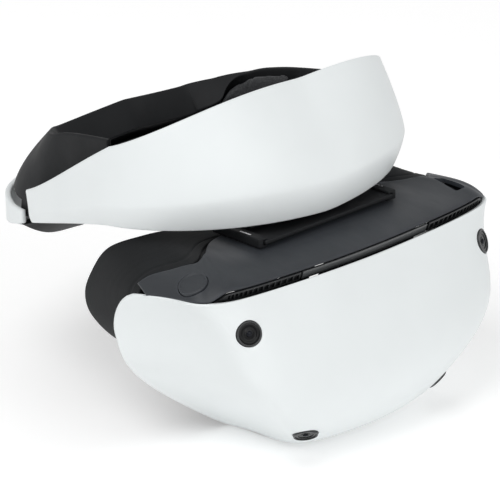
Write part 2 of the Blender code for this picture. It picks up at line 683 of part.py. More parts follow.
def lens_modules():
    """Each eye's display, barrel, infrared ring and lens slide sideways together."""
    for side, eye in ((-1, "right"), (1, "left")):
        x = side * EYE_X
        block(f"display_{eye}", (x, BARREL_Y - 1.6, EYE_Z), (DISPLAY_SIDE, 2.4, DISPLAY_SIDE), SCREEN, 0.4)
        seat = LENS_R + GAP
        shoulder = BARREL_LENGTH - 7
        outline = [(19.0, 0), (BARREL_R, 0), (BARREL_R, BARREL_LENGTH), (seat, BARREL_LENGTH),
                   (seat, shoulder), (19.0, shoulder)]
        barrel = turned(f"lens_barrel_{eye}", outline, (x, BARREL_Y, EYE_Z), (0, 1, 0), DARK, sides=24)
        nut_low = EYE_Z + BARREL_R - 2.5
        nut_high = SCREW_Z + 3.6
        centre = (x - side * 4, SCREW_Y, (nut_low + nut_high) / 2)
        nut = block(f"nut_{eye}", centre, (12, 8, nut_high - nut_low), DARK)
        foot = block(f"guide_foot_{eye}", (x, GUIDE_Y, EYE_Z - BARREL_R - 2.6), (12, 8, 8.4), DARK)
        join(barrel, nut, foot)
        bore = cross_bore(f"nut_bore_{eye}", SCREW_R, (x - 30, SCREW_Y, SCREW_Z))
        slot = cross_bore(f"foot_bore_{eye}", GUIDE_R, (x - 30, GUIDE_Y, GUIDE_Z))
        inside = turned(f"barrel_clear_{eye}", disc_profile(19.0, 40), (x, 2, EYE_Z), (0, 1, 0), DARK, 24)
        for tool in (bore, slot, inside):
            cut(barrel, helper(tool))
        glass = [(0, 0), (LENS_R - 3, 0.6), (LENS_R, 2.2), (LENS_R, 4), (LENS_R - 4, 6.4), (10, 8), (0, 8.6)]
        turned(f"lens_{eye}", glass, (x, BARREL_Y + 23.4, EYE_Z), (0, 1, 0), LENS, sides=24)
        ring = tube_profile(BARREL_R, LENS_R + 0.6, 1.6)
        turned(f"ir_ring_{eye}", ring, (x, BARREL_Y + BARREL_LENGTH + 0.3, EYE_Z), (0, 1, 0), GLOSS, sides=24)


def ipd_drive():
    """The dial in the cover's slot turns a screw with a left and a right thread, over a guide rod."""
    near = IPD_DIAL_X - IPD_DIAL_WIDTH / 2
    rim = [(0, 0), (IPD_DIAL_R - 1, 0), (IPD_DIAL_R, 1.2), (IPD_DIAL_R, IPD_DIAL_WIDTH - 1.2),
           (IPD_DIAL_R - 1, IPD_DIAL_WIDTH), (0, IPD_DIAL_WIDTH)]
    turned("ipd_dial", rim, (near, SCREW_Y, SCREW_Z), (1, 0, 0), DARK, sides=32)
    length = near - GAP - SCREW_START
    pitch = length / SCREW_TURNS
    screw = [(0, 0)]
    for k in range(SCREW_TURNS):
        screw += [(SCREW_R - 0.35, pitch * k), (SCREW_R, pitch * (k + 0.5))]
    screw += [(SCREW_R - 0.35, length), (0, length)]
    turned("ipd_screw", screw, (SCREW_START, SCREW_Y, SCREW_Z), (1, 0, 0), METAL, sides=8)
    turned("guide_rod", disc_profile(GUIDE_R, 112), (-56, GUIDE_Y, GUIDE_Z), (1, 0, 0), METAL, sides=12)


# ---------------------------------------------------------------- scope buttons and sensors
def scope_button_place():
    """The button's centre on the cover over the right wing, and the cover's normal there."""
    u, t = SCOPE_BUTTON
    step = 0.01
    place, ahead, inward = (cover_surface(np.array([[a]]), np.array([[b]]))[0, 0]
                            for a, b in ((u, t), (u + step, t), (u, t + step)))
    normal = np.cross(ahead - place, inward - place)
    normal = normal / np.linalg.norm(normal)
    return place, normal if normal[2] > 0 else -normal


def buttons():
    place, normal = scope_button_place()
    turned("scope_button", disc_profile(SCOPE_BUTTON_R, 2.6, 0.5), place - normal * 2.0, normal, DARK, 24)
    for name, x in BOTTOM_BUTTONS.items():
        base = (x, BOTTOM_BUTTON_Y, -77.4)
        turned(name, disc_profile(BOTTOM_BUTTON_R, 3.4, 0.4), base, (0, 0, -1), GREY, sides=20)
    block("proximity_sensor", (0, FACE_FRAME_Y[1] + GAP + 1.1, 2), (9, 2.2, 5), GLOSS, 0.5)
    turned("microphone", disc_profile(3.0, 2.2, 0.3), (14, 27, -77.8), (0, 0, 1), METAL, sides=16)


# ---------------------------------------------------------------- slide between scope and headband
def slide_rails():
    """A channel on each side of the cover that holds the bracket's edge."""
    length = RAIL_Y[1] - RAIL_Y[0]
    middle = (RAIL_Y[0] + RAIL_Y[1]) / 2
    height = (BRACKET_Z[0] + BRACKET_Z[1]) / 2
    thickness = BRACKET_Z[1] - BRACKET_Z[0]
    for name, side in (("slide_rail_right", -1), ("slide_rail_left", 1)):
        made = block(name, (side * (RAIL_X + 0.6), middle, height), (5.2, length, thickness + 2.8), DARK, 0.4)
        groove = block(name + "_groove", (side * (RAIL_X - 10), middle, height),
                       (20 + 4 * GAP, length + 10, thickness + 2 * GAP), DARK)
        cut(made, helper(groove))


def scope_bracket():
    """The plate on the headband that the scope slides on, with a riser up into the band."""
    low, high = BRACKET_Z
    length = BRACKET_Y[1] - BRACKET_Y[0]
    middle = (BRACKET_Y[0] + BRACKET_Y[1]) / 2
    made = block("scope_bracket", (0, middle, (low + high) / 2), (2 * RAIL_X, length, high - low), DARK)
    shelf = block("shelf", (0, MOTOR[1], 24.2), (78, 9, 4.4), DARK, 0.6)
    riser = block("riser", (0, MOTOR[1] - 3, 28), (54, 6, 15.6), DARK, 0.8)
    join(made, shelf, riser)


# ---------------------------------------------------------------- headband
def band_part(name, steps, rows, depth, thickness, look):
    """A layer of the headband over some of its columns and rows."""
    u, v = grid(np.arange(-steps, steps + 1) / BAND_STEPS, rows)
    wall(name, band_surface(u, v), depth, thickness, look, HEAD_INSIDE)


def headband():
    band_part("band_shell", BAND_STEPS, BAND_ROWS, 0, BAND_WALL, WHITE)
    band_part("band_liner", 8, BAND_ROWS[1:-1], BAND_WALL + GAP, LINER_WALL, DARK)
    band_part("forehead_pad", 7, BAND_ROWS[1:-2], BAND_WALL + LINER_WALL + 4 * GAP, FOREHEAD_PAD, FOAM)


def arm_guides():
    for name, start, end in (("arm_guide_right", -0.93, -0.58), ("arm_guide_left", 0.58, 0.93)):
        u, v = grid(np.linspace(start, end, 9), np.linspace(0.3, 0.8, 3))
        wall(name, band_surface(u, v), BAND_WALL + GAP, 1.4, GREY, HEAD_INSIDE)


def vibration_motor():
    x, y, z = MOTOR
    turned("vibration_motor", disc_profile(MOTOR_R, MOTOR_LENGTH, 0.4), MOTOR, (1, 0, 0), METAL, sides=20)
    start = x + MOTOR_LENGTH + 0.3
    shaft = turned("motor_weight", disc_profile(0.8, 5.4), (start, y, z), (1, 0, 0), METAL, sides=10)
    weight = turned("weight_lobe", disc_profile(3.1, 3.6), (start + 1.4, y, z), (1, 0, 0), METAL, sides=20)
    half = block("weight_half", (start + 3.3, y, z + 4.5), (12, 12, 9), METAL)
    cut(weight, helper(half))
    join(shaft, weight)


def cable_gland():
    outline = [(3.6, 0), (3.6, 4), (2.6, 15), (1.7, 15), (1.7, 0)]
    turned("cable_gland", outline, GLAND, (0, 0.25, -1), RUBBER, sides=16)


# ---------------------------------------------------------------- rear unit
def rear_depth(a):
    """Thickness of the rear housing: thin at the wings, deep enough for the rack gear at the back."""
    return 2.4 + 14.2 * smooth((a - 0.33) / 0.2)


def rear_grid(columns, rows, reach=1.0, shrink=0.0):
    w, v = grid(np.linspace(-reach, reach, columns), np.linspace(0, 1, rows))
    a = 1 - np.abs(w)
    top = through(REAR_TOP, a) - shrink
    low = through(REAR_LOW, a) + shrink
    surface = rear_surface(w, top + (low - top) * v)
    return surface, facing(surface, outward(surface), HEAD_INSIDE), a[..., None]


def undercut(v):
    """Moves the inner face's lower edge up."""
    return np.stack([0 * v, 0 * v, REAR_UNDERCUT * v ** 4], -1)


def rear_housing():
    surface, normal, a = rear_grid(27, 6)
    near = REAR_WALL + 2 * GAP
    share = grid(np.zeros(surface.shape[0]), np.linspace(0, 1, surface.shape[1]))[1]
    inner = surface - normal * (near + rear_depth(a)) + undercut(share) * smooth((a - 0.33) / 0.2)
    made = sheet_solid("rear_housing", surface - normal * near, inner, DARK)
    half, inside, outside = RACK_POCKET
    floor, ceiling = RACK_POCKET_Z
    angle, radius = grid(np.radians(np.linspace(-half, half, 24)), [RACK_R + inside, RACK_R + outside])
    flat = (radius * np.sin(angle), RACK_CENTRE_Y + radius * np.cos(angle))
    low = np.stack([*flat, np.full_like(angle, DIAL_Z + floor)], -1)
    pocket = sheet_solid("rack_pocket", low, low + (0, 0, ceiling - floor), DARK)
    start, bore = PINION_WELL
    well = turned("pinion_well", disc_profile(bore, 30), (0, start, DIAL_Z), (0, 1, 0), DARK, sides=20)
    jack = turned("jack_hole", disc_profile(3.6, 38), (*JACK, -50), (0, 0, 1), DARK, sides=16)
    for tool in (pocket, well, jack):
        cut(made, helper(tool))


def rear_pad():
    surface, normal, a = rear_grid(25, 5, reach=12 / 13, shrink=2.0)
    near = REAR_WALL + 6 * GAP + rear_depth(a)
    thin, more = REAR_PAD
    share = grid(np.zeros(surface.shape[0]), np.linspace(0, 1, surface.shape[1]))[1]
    surface = surface + undercut(share) * smooth((a - 0.33) / 0.2)
    sheet_solid("rear_pad", surface - normal * near, surface - normal * (near + thin + more * a), FOAM)


def rear_cover():
    w, v = grid(np.linspace(-REAR_COVER_REACH, REAR_COVER_REACH, 21), np.linspace(0, 1, 5))
    share = 1 - np.abs(w) / REAR_COVER_REACH
    top = through(REAR_COVER_TOP, share)
    low = through(REAR_COVER_LOW, share)
    surface = rear_surface(w, top + (low - top) * v)
    made = wall("rear_cover", surface, 0, REAR_WALL, WHITE, HEAD_INSIDE)
    cut(made, helper(turned("sleeve_hole", disc_profile(5.2, 30), (0, 190, DIAL_Z), (0, 1, 0), DARK, 20)))


def adjust_dial():
    outline = [(3.6, 0), (DIAL_R, 0), (DIAL_R, 7.4), (15.4, 8.8), (7.6, 8.8), (7.6, 1.6), (3.6, 1.6)]
    turned("adjust_dial", outline, (0, DIAL_BACK, DIAL_Z), (0, 1, 0), WHITE, 32, DIAL_RIDGES, 0.35)
    button = [(0, 0), (2.8, 0), (2.8, 17.4), (7.1, 17.4), (7.1, 21.4), (6.3, 22.2), (0, 22.2)]
    turned("release_button", button, (0, DIAL_BACK - 13, DIAL_Z), (0, 1, 0), GREY, sides=20)


def gear_outline(teeth, root, tip):
    points = []
    for k in range(teeth):
        for share, radius in ((0.0, root), (0.3, root), (0.42, tip), (0.78, tip)):
            angle = 2 * math.pi * (k + share) / teeth
            points.append((radius * math.cos(angle), DIAL_Z + radius * math.sin(angle)))
    return points


def adjust_pinion():
    outline = gear_outline(PINION_TEETH, PINION_R - 1.6, PINION_R - 0.4)
    made = plate("adjust_pinion", outline, *PINION_Y, GREY)
    start = PINION_Y[0]
    sleeve = turned("sleeve", disc_profile(4.1, 8.4), (0, start + 3, DIAL_Z), (0, 1, 0), GREY, 20)
    bore = turned("pinion_bore", disc_profile(3.3, 30), (0, start - 7, DIAL_Z), (0, 1, 0), GREY, 20)
    join(made, sleeve)
    cut(made, helper(bore))


def racks():
    """Two curved racks, one over and one under the pinion, each with a plain tail towards its own arm."""
    pitch = 2 * math.pi * PINION_R / PINION_TEETH / RACK_R
    root, tip, back = PINION_R + 1.2, PINION_R, PINION_R + 5.0
    for name, side in (("rack_right", -1), ("rack_left", 1)):
        outline = []
        for k in range(RACK_TEETH):
            for share, height in ((0.0, root), (0.42, root), (0.54, tip), (0.88, tip)):
                outline.append((-side * math.radians(RACK_START) + side * (k + share) * pitch, height))
        toothed = -side * math.radians(RACK_START) + side * RACK_TEETH * pitch
        outline += [(angle, root) for angle in np.linspace(toothed, side * math.radians(RACK_TAIL), 4)]
        add(name, rack_mesh(outline, side, back), METAL)


def rack_mesh(outline, side, back):
    """A closed strip about the rack's centre, from each outline height out to the back edge."""
    bm = bmesh.new()
    rings = []
    for radius in (RACK_R - 1.0, RACK_R + 1.0):
        inner, outer = [], []
        for angle, height in outline:
            x, y = radius * math.sin(angle), RACK_CENTRE_Y + radius * math.cos(angle)
            inner.append(bm.verts.new(point((x, y, DIAL_Z - side * height))))
            outer.append(bm.verts.new(point((x, y, DIAL_Z - side * back))))
        rings.append((inner, outer))
    (low_in, up_in), (low_out, up_out) = rings
    for k in range(len(low_in) - 1):
        for a, b in ((low_in, up_in), (low_out, up_out), (low_in, low_out), (up_in, up_out)):
            bm.faces.new((a[k], a[k + 1], b[k + 1], b[k]))
    for k in (0, len(low_in) - 1):
        bm.faces.new((low_in[k], up_in[k], up_out[k], low_out[k]))
    return bm


def audio_jack():
    turned("audio_jack", tube_profile(3.2, 1.8, 9.0), (*JACK, -23.8), (0, 0, 1), METAL, sides=16)


# ---------------------------------------------------------------- carriers on the joints' axes
def carrier(name, place, pieces, parent=None):
    """An empty on a joint's axis, with the pieces that move on it as its children."""
    made = bpy.data.objects.new(name, None)
    made.location = point(place)
    bpy.context.collection.objects.link(made)
    for piece in pieces:
        child = bpy.data.objects[piece]
        child.parent = made
        child.matrix_parent_inverse = Matrix.Translation(-point(place))
    if parent is not None:
        made.parent = parent
        made.matrix_parent_inverse = Matrix.Translation(-parent.location)
    return made


def carriers():
    scope = carrier("scope_carrier", (0, RAIL_Y[0], BRACKET_Z[0]), SCOPE_PIECES)
    for side, eye in ((-1, "right"), (1, "left")):
        pieces = [f"{part}_{eye}" for part in ("display", "lens_barrel", "lens", "ir_ring")]
        carrier(f"lens_carrier_{eye}", (side * EYE_X, GUIDE_Y, GUIDE_Z), pieces, scope)
        name, x = list(BOTTOM_BUTTONS.items())[(side + 1) // 2]
        carrier(f"{name}_carrier", (x, BOTTOM_BUTTON_Y, -77.4), [name], scope)
    carrier("ipd_dial_carrier", (IPD_DIAL_X, SCREW_Y, SCREW_Z), ["ipd_dial", "ipd_screw"], scope)
    carrier("fan_carrier", FAN_CENTRE, ["fan_rotor"], scope)
    carrier("scope_button_carrier", scope_button_place()[0], ["scope_button"], scope)
    carrier("motor_carrier", MOTOR, ["motor_weight"])
    hub = (0, DIAL_BACK, DIAL_Z)
    rear = carrier("rear_carrier", hub, ["rear_housing", "rear_pad", "rear_cover", "audio_jack"])
    carrier("dial_carrier", hub, ["adjust_dial", "adjust_pinion"], rear)
    carrier("release_carrier", hub, ["release_button"], rear)
    for rack in ("rack_right", "rack_left"):
        carrier(f"{rack}_carrier", (0, RACK_CENTRE_Y, DIAL_Z), [rack], rear)


def clear_scene():
    for existing in list(bpy.data.objects):
        bpy.data.objects.remove(existing, do_unlink=True)


def build():
    clear_scene()
    for make in (front_shell, top_cover, vent_strip, bottom_cover, light_shield, face_frame,
                 tracking_cameras, chassis, main_board, heat_sink, fan, lens_modules, ipd_drive, buttons,
                 slide_rails, scope_bracket, headband, arm_guides, vibration_motor, cable_gland,
                 rear_housing, rear_pad, rear_cover, adjust_dial, adjust_pinion, racks, audio_jack, carriers):
        make()


build()
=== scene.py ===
import json
from math import cos, pi, radians, sin

import bmesh
import bpy
import numpy as np
from mathutils import Matrix, Vector
from mathutils.kdtree import KDTree


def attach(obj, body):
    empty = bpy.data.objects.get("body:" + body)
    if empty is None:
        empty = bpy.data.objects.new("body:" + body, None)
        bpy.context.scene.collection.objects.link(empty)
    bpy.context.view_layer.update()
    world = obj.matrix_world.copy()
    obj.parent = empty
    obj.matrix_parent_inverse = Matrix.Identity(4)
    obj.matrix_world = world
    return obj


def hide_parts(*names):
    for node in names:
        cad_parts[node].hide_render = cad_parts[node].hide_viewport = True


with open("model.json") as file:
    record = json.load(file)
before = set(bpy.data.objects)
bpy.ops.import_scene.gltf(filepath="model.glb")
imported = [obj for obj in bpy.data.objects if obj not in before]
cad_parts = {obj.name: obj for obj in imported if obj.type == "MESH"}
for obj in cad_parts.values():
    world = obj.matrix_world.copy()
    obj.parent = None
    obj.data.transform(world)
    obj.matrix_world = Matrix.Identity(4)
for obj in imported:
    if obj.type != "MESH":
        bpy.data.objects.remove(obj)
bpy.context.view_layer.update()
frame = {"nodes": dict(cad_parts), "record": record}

# Lengths are in millimetres about the scope datum (the middle of the front shell's top edge, wearer facing -Y),
# and place() turns them into metres in the headset's frame.
MM = 0.001
FRAME_Y = 91.7
FRAME_Z = 83.2
GAP = 0.4

# camera: the direction it looks from, its roll, and the point of the headset in the middle of the picture
CAMERA_AZIMUTH = 43.773
CAMERA_ELEVATION = 21.388
CAMERA_ROLL = -1.199
CAMERA_DISTANCE = 1500.0
CAMERA_ASIDE = (-50.546, 8.392)      # the aim point, along the picture's right and up, from the scope datum
CAMERA_LENS = 228.07

# front shell of the scope
SHELL_PLAN = [(0, -9.4), (22, -9.4), (80.5, -5.8), (104.4, 3.4), (95, 30.4), (117.8, 59)]
SHELL_WIDTH = [1.0, 0.865, 0.903, 0.572, 0.40, 0.385]
SHELL_DEPTH = [1.0, 1.094, 1.35, 1.21, 1.006, 0.633]
SHELL_DROP = [0.0, 0.141, 0.45, 0.781, 1.0, 1.0]
SHELL_BACK = 63.5
SHELL_TOP = 8.6
SHELL_BOTTOM = -82.7
SHELL_WALL = 2.2
SHELL_EDGE = 0.9
WING_DROP = 3.8
CORNER_TOP = (0.215, 0.098)
CORNER_LOW = (0.605, 0.088)
SCOPE_INSIDE = (0, 20, -35)
CAMERA_R = 5.9
CAMERA_PLACES = {"camera_upper_right": (-0.484, 0.130), "camera_upper_left": (0.484, 0.130),
                 "camera_lower_right": (-0.470, 0.739), "camera_lower_left": (0.470, 0.739)}

# top cover and what sits in it
COVER_REACH = 0.98
COVER_WALL = 2.0
COVER_EDGE = 0.8
COVER_LIFT = 4.0
COVER_RISE = 8.0
COVER_RISE_SIDE = 9.0
COVER_RISE_END = 1.8
COVER_REAR = [(0, 46), (30, 46), (54, 43), (68, 32), (77, 27), (86, 33), (94, 42), (99, 47)]
TRIM_SPAN = 0.215
GRILLE_SPAN = (0.222, 0.6)
GRILLE_CELLS = 0.5
GRILLE_RIBS = 15
GRILLE_RIB_HALF = 0.002
SCOPE_BUTTON = (-0.672, 0.385)
SCOPE_BUTTON_R = 7.0
IPD_DIAL_X = 80.0
IPD_DIAL_R = 8.6
IPD_DIAL_WIDTH = 4.8
IPD_DIAL_RIDGES = 60
IPD_SLOT = 15.6
SCREW_Y = 14.0
SCREW_Z = 6.6

# light shield: half outlines from the top middle down to the bottom middle, as x, y, z
SHIELD_FRONT = [(0, 46.5, 14.0), (32, 46.5, 14.2), (56, 43.5, 16), (77, 29.5, 17.0), (90, 40, 12.5), (95, 48, 3),
                (92.5, 49, -12), (84, 47, -30), (73, 46, -48), (56, 46, -64), (30, 48.5, -74), (0, 48.5, -75)]
SHIELD_BACK = [(0, 61, 15.5), (32, 61, 16), (60, 62.5, 20.5), (76, 68, 20), (81, 86, 10.5), (81.5, 98, -4.5),
               (81, 104, -18), (78.5, 102, -30), (71, 92, -42), (54, 80, -53), (32, 71, -55), (15, 64, -42),
               (0, 61, -31)]
SHIELD_WALL = 1.8
SHIELD_SWELL = 3.0
SHIELD_STEPS = 240
SHIELD_INSIDE = (0, 60, -25)
FACE_FRAME_Y = (39.0, 41.0)
FACE_FRAME_SCALE = 0.93
FACE_FRAME_HALF = 74.0
NOSE_NOTCH = (11.5, -74.0)

# optics
EYES = (("right", -32.0), ("left", 32.0))
EYE_Z = -29.0
LENS_R = 21.0
BARREL_R = 23.5
BARREL_BORE = 19.0
BARREL_Y = 5.8
BARREL_LENGTH = 30.0
SCREW_R = 1.8
GUIDE_R = 1.5
GUIDE_Y = 14.0
GUIDE_Z = EYE_Z - BARREL_R - 4.2
BOTTOM_BUTTONS = {"power_button": ("power_key", -30.0), "function_button": ("function_key", 30.0)}
BOTTOM_BUTTON_Y = 30.0
BOTTOM_BUTTON_R = 3.0
REST_PAD = (44.0, 16.0)
REST_PAD_Y = 33.0
RAIL_Z = 20.2

# headband
BAND_FRONT = 12.0
BAND_HALF = 88.5
BAND_ROUND = 68.5
BAND_POWER = 2.25
BAND_END = (74.5, 151.5)
BAND_SPLIT = 0.55
BAND_TOP = [87, 91.5, 73.5, 33, 21.5]
BAND_LOW = [24, 27, 30, 12.5, 3.5]
BAND_LEAN = (23.0, -3.6)
BAND_CURL = 5.6
BAND_CREASE = 0.71
BAND_WALL = 3.0
LINER_WALL = 2.2
FOREHEAD_PAD = 11.0
PAD_VOXEL = 2.2
PAD_PRESSURE = 4.0
PAD_FRAMES = 20
HEAD_INSIDE = (0, 90, 30)
MOTOR = (30.4, 36.0, 30.8)
MOTOR_R = 3.8
MOTOR_LENGTH = 11.0
GLAND = (79.0, 128.0, 8.6)

# rear unit
REAR_PLAN = [(76.5, 93), (74.5, 128), (74.5, 152), (69.5, 172.5), (54, 191), (27, 200), (0, 203)]
REAR_TOP = [61, 56.5, 52, 49, 46.3, 47.4, 50.5]
REAR_LOW = [24, 14, 6, 0, -11, -26, -30]
REAR_LEAN = [0, 1, 5, 16, 23.5, 29, 31]
REAR_LEAN_FROM = 8.0
REAR_SWEEP = 8.0
REAR_UNDERCUT = 8.0
REAR_COVER_TOP = [9, 9, 9.5, 11, 17, 21]
REAR_COVER_LOW = [2, -3, -8, -18, -25.5, -27]
REAR_COVER_REACH = 0.625
REAR_WALL = 3.0
REAR_PAD = (7.0, 3.0)
DIAL_BACK = 203.8
DIAL_Z = -1.0
DIAL_R = 17.0
DIAL_RIDGES = 32
RACK_CENTRE_Y = 125.0
RACK_R = 70.0
RACK_POCKET = (61.0, -3.3, 31.0)
RACK_POCKET_Z = (-13.0, 13.0)
PINION_WELL = (187.5, 7.5)
JACK = (26.0, 187.5, -23.8)
JACK_R = 3.2

# studio: each lamp's place, aim and size in metres, and its power in watts
LAMPS = [("key", (-1.4, -0.2, 2.2), (0, 0, 0.08), (1.6, 1.6), 25),
         ("fill", (-0.4, -2.4, 1.2), (0, 0, 0.08), (2.0, 1.4), 16),
         ("rim", (1.8, 1.6, 1.8), (0, 0, 0.1), (1.4, 1.0), 4)]
SKY = 0.54


def place(p):
    """Millimetres about the scope datum to metres in the headset's frame."""
    return Vector((p[0] * MM, (p[1] - FRAME_Y) * MM, (p[2] + FRAME_Z) * MM))


def placed(points):
    return (np.asarray(points, float) - (0, FRAME_Y, -FRAME_Z)) * MM


# curves
def bspline(control, t):
    """Clamped cubic B-spline of the control values at each t of 0 to 1."""
    control = np.asarray(control, float)
    t = np.clip(np.asarray(t, float), 0, 1 - 1e-9)
    knots = np.concatenate([np.zeros(3), np.linspace(0, 1, len(control) - 2), np.ones(3)])
    basis = [((knots[i] <= t) & (t < knots[i + 1])).astype(float) for i in range(len(knots) - 1)]
    for k in (1, 2, 3):
        raised = []
        for i in range(len(knots) - 1 - k):
            before = knots[i + k] - knots[i]
            after = knots[i + k + 1] - knots[i + 1]
            left = (t - knots[i]) / before * basis[i] if before else 0 * t
            right = (knots[i + k + 1] - t) / after * basis[i + 1] if after else 0 * t
            raised.append(left + right)
        basis = raised
    return sum(np.multiply.outer(b, c) for b, c in zip(basis, control))


def through(points, t):
    """Catmull-Rom curve through the points at each t of 0 to 1."""
    points = np.asarray(points, float)
    padded = np.concatenate([[2 * points[0] - points[1]], points, [2 * points[-1] - points[-2]]])
    spot = np.clip(np.asarray(t, float), 0, 1) * (len(points) - 1)
    k = np.minimum(spot.astype(int), len(points) - 2)
    f = (spot - k).reshape(np.shape(spot) + (1,) * (points.ndim - 1))
    a, b, c, d = padded[k], padded[k + 1], padded[k + 2], padded[k + 3]
    return 0.5 * (2 * b + (c - a) * f + (2 * a - 5 * b + 4 * c - d) * f ** 2 + (3 * b - a - 3 * c + d) * f ** 3)


def mirrored(half, u):
    """A half curve's points, read at |u|, with X given u's sign."""
    side = np.where(np.asarray(u) < 0, -1.0, 1.0)
    return np.stack([half[..., 0] * side, *np.moveaxis(half[..., 1:], -1, 0)], -1)


def unit(vectors):
    return vectors / np.linalg.norm(vectors, axis=-1, keepdims=True)


def smooth(x):
    x = np.clip(x, 0, 1)
    return x * x * (3 - 2 * x)


# surfaces, as in the CAD
def shell_surface(u, h):
    """Outer surface of the front shell: u -1 to 1 across from wing to wing, h 0 to 1 from top to bottom."""
    high, high_cut = CORNER_TOP
    low, low_cut = CORNER_LOW
    upper = np.clip((high - h) / high, 0, 1)
    lower = np.clip((h - low) / (1 - low), 0, 1)
    reach = 1 - high_cut * (1 - np.sqrt(1 - upper ** 2)) - low_cut * lower ** 2
    across = u * reach
    plan = mirrored(bspline(SHELL_PLAN, np.abs(across)), across)
    x = plan[..., 0] * bspline(SHELL_WIDTH, h)
    y = SHELL_BACK + (plan[..., 1] - SHELL_BACK) * bspline(SHELL_DEPTH, h)
    top = SHELL_TOP - WING_DROP * np.clip((np.abs(across) - 0.5) / 0.5, 0, 1) ** 1.5
    z = top + (SHELL_BOTTOM - top) * bspline(SHELL_DROP, h)
    return np.stack([x, y, z], -1)


def cover_lift(u):
    """Height of the vent strip at u along the shell's top edge."""
    return COVER_LIFT * smooth((0.62 - np.abs(u)) / 0.14)


def cover_surface(u, t):
    """Top cover: t 0 at the lip over the shell's top edge, 1 at the rear edge."""
    edge = shell_surface(u, np.zeros_like(u))
    rear = mirrored(through(COVER_REAR, np.abs(u)), u)
    inset = edge[..., :2] + (rear - edge[..., :2]) * 0.01
    inset[..., 1] += 1.2
    flat = inset + (rear - inset) * t[..., None]
    run = np.linalg.norm(flat - inset, axis=-1)
    side = np.clip((np.abs(u) - 0.35) / 0.3, 0, 1)
    lift = cover_lift(u)
    end = np.clip((np.abs(u) - 0.62) / 0.38, 0, 1) ** 1.2
    over_wing = COVER_RISE_SIDE + (COVER_RISE_END - COVER_RISE_SIDE) * end
    rise = (COVER_RISE - 0.9 * lift) * (1 - side) + over_wing * side
    length = 14.0 * (1 - side) + 8.0 * side
    z = edge[..., 2] + 2 * GAP + lift + rise * (1 - np.exp(-run / length))
    return np.concatenate([flat, z[..., None]], -1)


def band_plan(u):
    """The headband's plan at |u|: 0 at the forehead, 1 at the arm's end."""
    a = np.abs(u)
    turn = np.clip(a / BAND_SPLIT, 0, 1) * np.pi / 2
    x = BAND_HALF * np.sin(turn) ** (2 / BAND_POWER)
    y = BAND_FRONT + BAND_ROUND * (1 - np.cos(turn) ** (2 / BAND_POWER))
    f = np.clip((a - BAND_SPLIT) / (1 - BAND_SPLIT), 0, 1)
    x = x - (BAND_HALF - BAND_END[0]) * f ** 2
    y = y + (BAND_END[1] - BAND_FRONT - BAND_ROUND) * f
    return np.stack([x * np.where(u < 0, -1, 1), y], -1)


def band_surface(u, v):
    """Outer surface of the headband: u -1 to 1 from arm to arm, v 0 at the top edge, 1 at the bottom."""
    step = 2e-3
    plan = band_plan(u)
    along = unit(band_plan(np.clip(u + step, -1, 1)) - band_plan(np.clip(u - step, -1, 1)))
    normal = np.stack([along[..., 1], -along[..., 0]], -1)
    top = bspline(BAND_TOP, np.abs(u))
    low = bspline(BAND_LOW, np.abs(u))
    height = (top - low) / 60
    lean = BAND_LEAN[0] + (BAND_LEAN[1] - BAND_LEAN[0]) * np.abs(u)
    above = np.clip((BAND_CREASE - v) / BAND_CREASE, 0, 1)
    below = np.clip((v - BAND_CREASE) / (1 - BAND_CREASE), 0, 1)
    inward = lean * height * above ** 1.3 + BAND_CURL * height * below ** 1.5
    plan = plan - normal * inward[..., None]
    return np.concatenate([plan, (top + (low - top) * v)[..., None]], -1)


def rear_surface(w, z):
    """Outer surface of the rear unit: w -1 to 1 from wing tip to wing tip, 0 at the middle, at height z."""
    a = 1 - np.abs(w)
    step = 2e-3
    plan, ahead, behind = (mirrored(through(REAR_PLAN, 1 - np.abs(at)), at) for at in (w, w + step, w - step))
    along = ahead - behind
    along[..., 1] *= smooth(np.abs(w) / 0.12)
    along = unit(along)
    normal = np.stack([-along[..., 1], along[..., 0]], -1)
    rise = np.clip((z - REAR_LEAN_FROM) / (REAR_TOP[-1] - REAR_LEAN_FROM), 0, 1.3) ** 1.6
    plan = plan - normal * (through(REAR_LEAN, a) * rise)[..., None]
    plan[..., 1] -= REAR_SWEEP * smooth(a / 0.35) * rise
    return np.concatenate([plan, z[..., None]], -1)


def undercut(w, v):
    """How far the rear unit's lower edge is moved up towards the head."""
    lift = REAR_UNDERCUT * v ** 4 * smooth((0.67 - np.abs(w)) / 0.2)
    return np.stack([0 * v, 0 * v, lift], -1)


def rear_band(w, v, shrink=0.0):
    """The rear housing's outline over rear_surface: v 0 at its top edge, 1 at its bottom edge."""
    a = 1 - np.abs(w)
    top = through(REAR_TOP, a) - shrink
    low = through(REAR_LOW, a) + shrink
    return rear_surface(w, top + (low - top) * v)


def rear_cover_band(w, v):
    share = 1 - np.abs(w) / REAR_COVER_REACH
    top = through(REAR_COVER_TOP, share)
    low = through(REAR_COVER_LOW, share)
    return rear_surface(w, top + (low - top) * v)


def rear_depth(a):
    """Thickness of the rear housing: thin at the wings, deep enough for the rack gear at the back."""
    return 2.4 + 14.2 * smooth((a - 0.33) / 0.2)


def shield_loop(half, count):
    """A closed loop from a half outline, from the top middle and round by +X; the last point repeats the first."""
    f = np.linspace(0, 1, count + 1)
    loop = through(half, 1 - np.abs(1 - 2 * f))
    loop[:, 0] = np.abs(loop[:, 0]) * np.where(f <= 0.5, 1, -1)
    return loop


def shield_surface(count, t):
    """The light shield's outer surface, from its seat on the scope to its free edge."""
    front = shield_loop(SHIELD_FRONT, count)
    back = shield_loop(SHIELD_BACK, count)
    middle = (front + back) / 2
    out = middle - middle[:-1].mean(axis=0)
    out[:, 1] = 0
    out = unit(out) * (0.35, 1, 0.35)
    flat = front[:, None] + (back - front)[:, None] * t[None, :, None]
    return flat + out[:, None] * SHIELD_SWELL * np.sin(np.pi * t)[None, :, None]


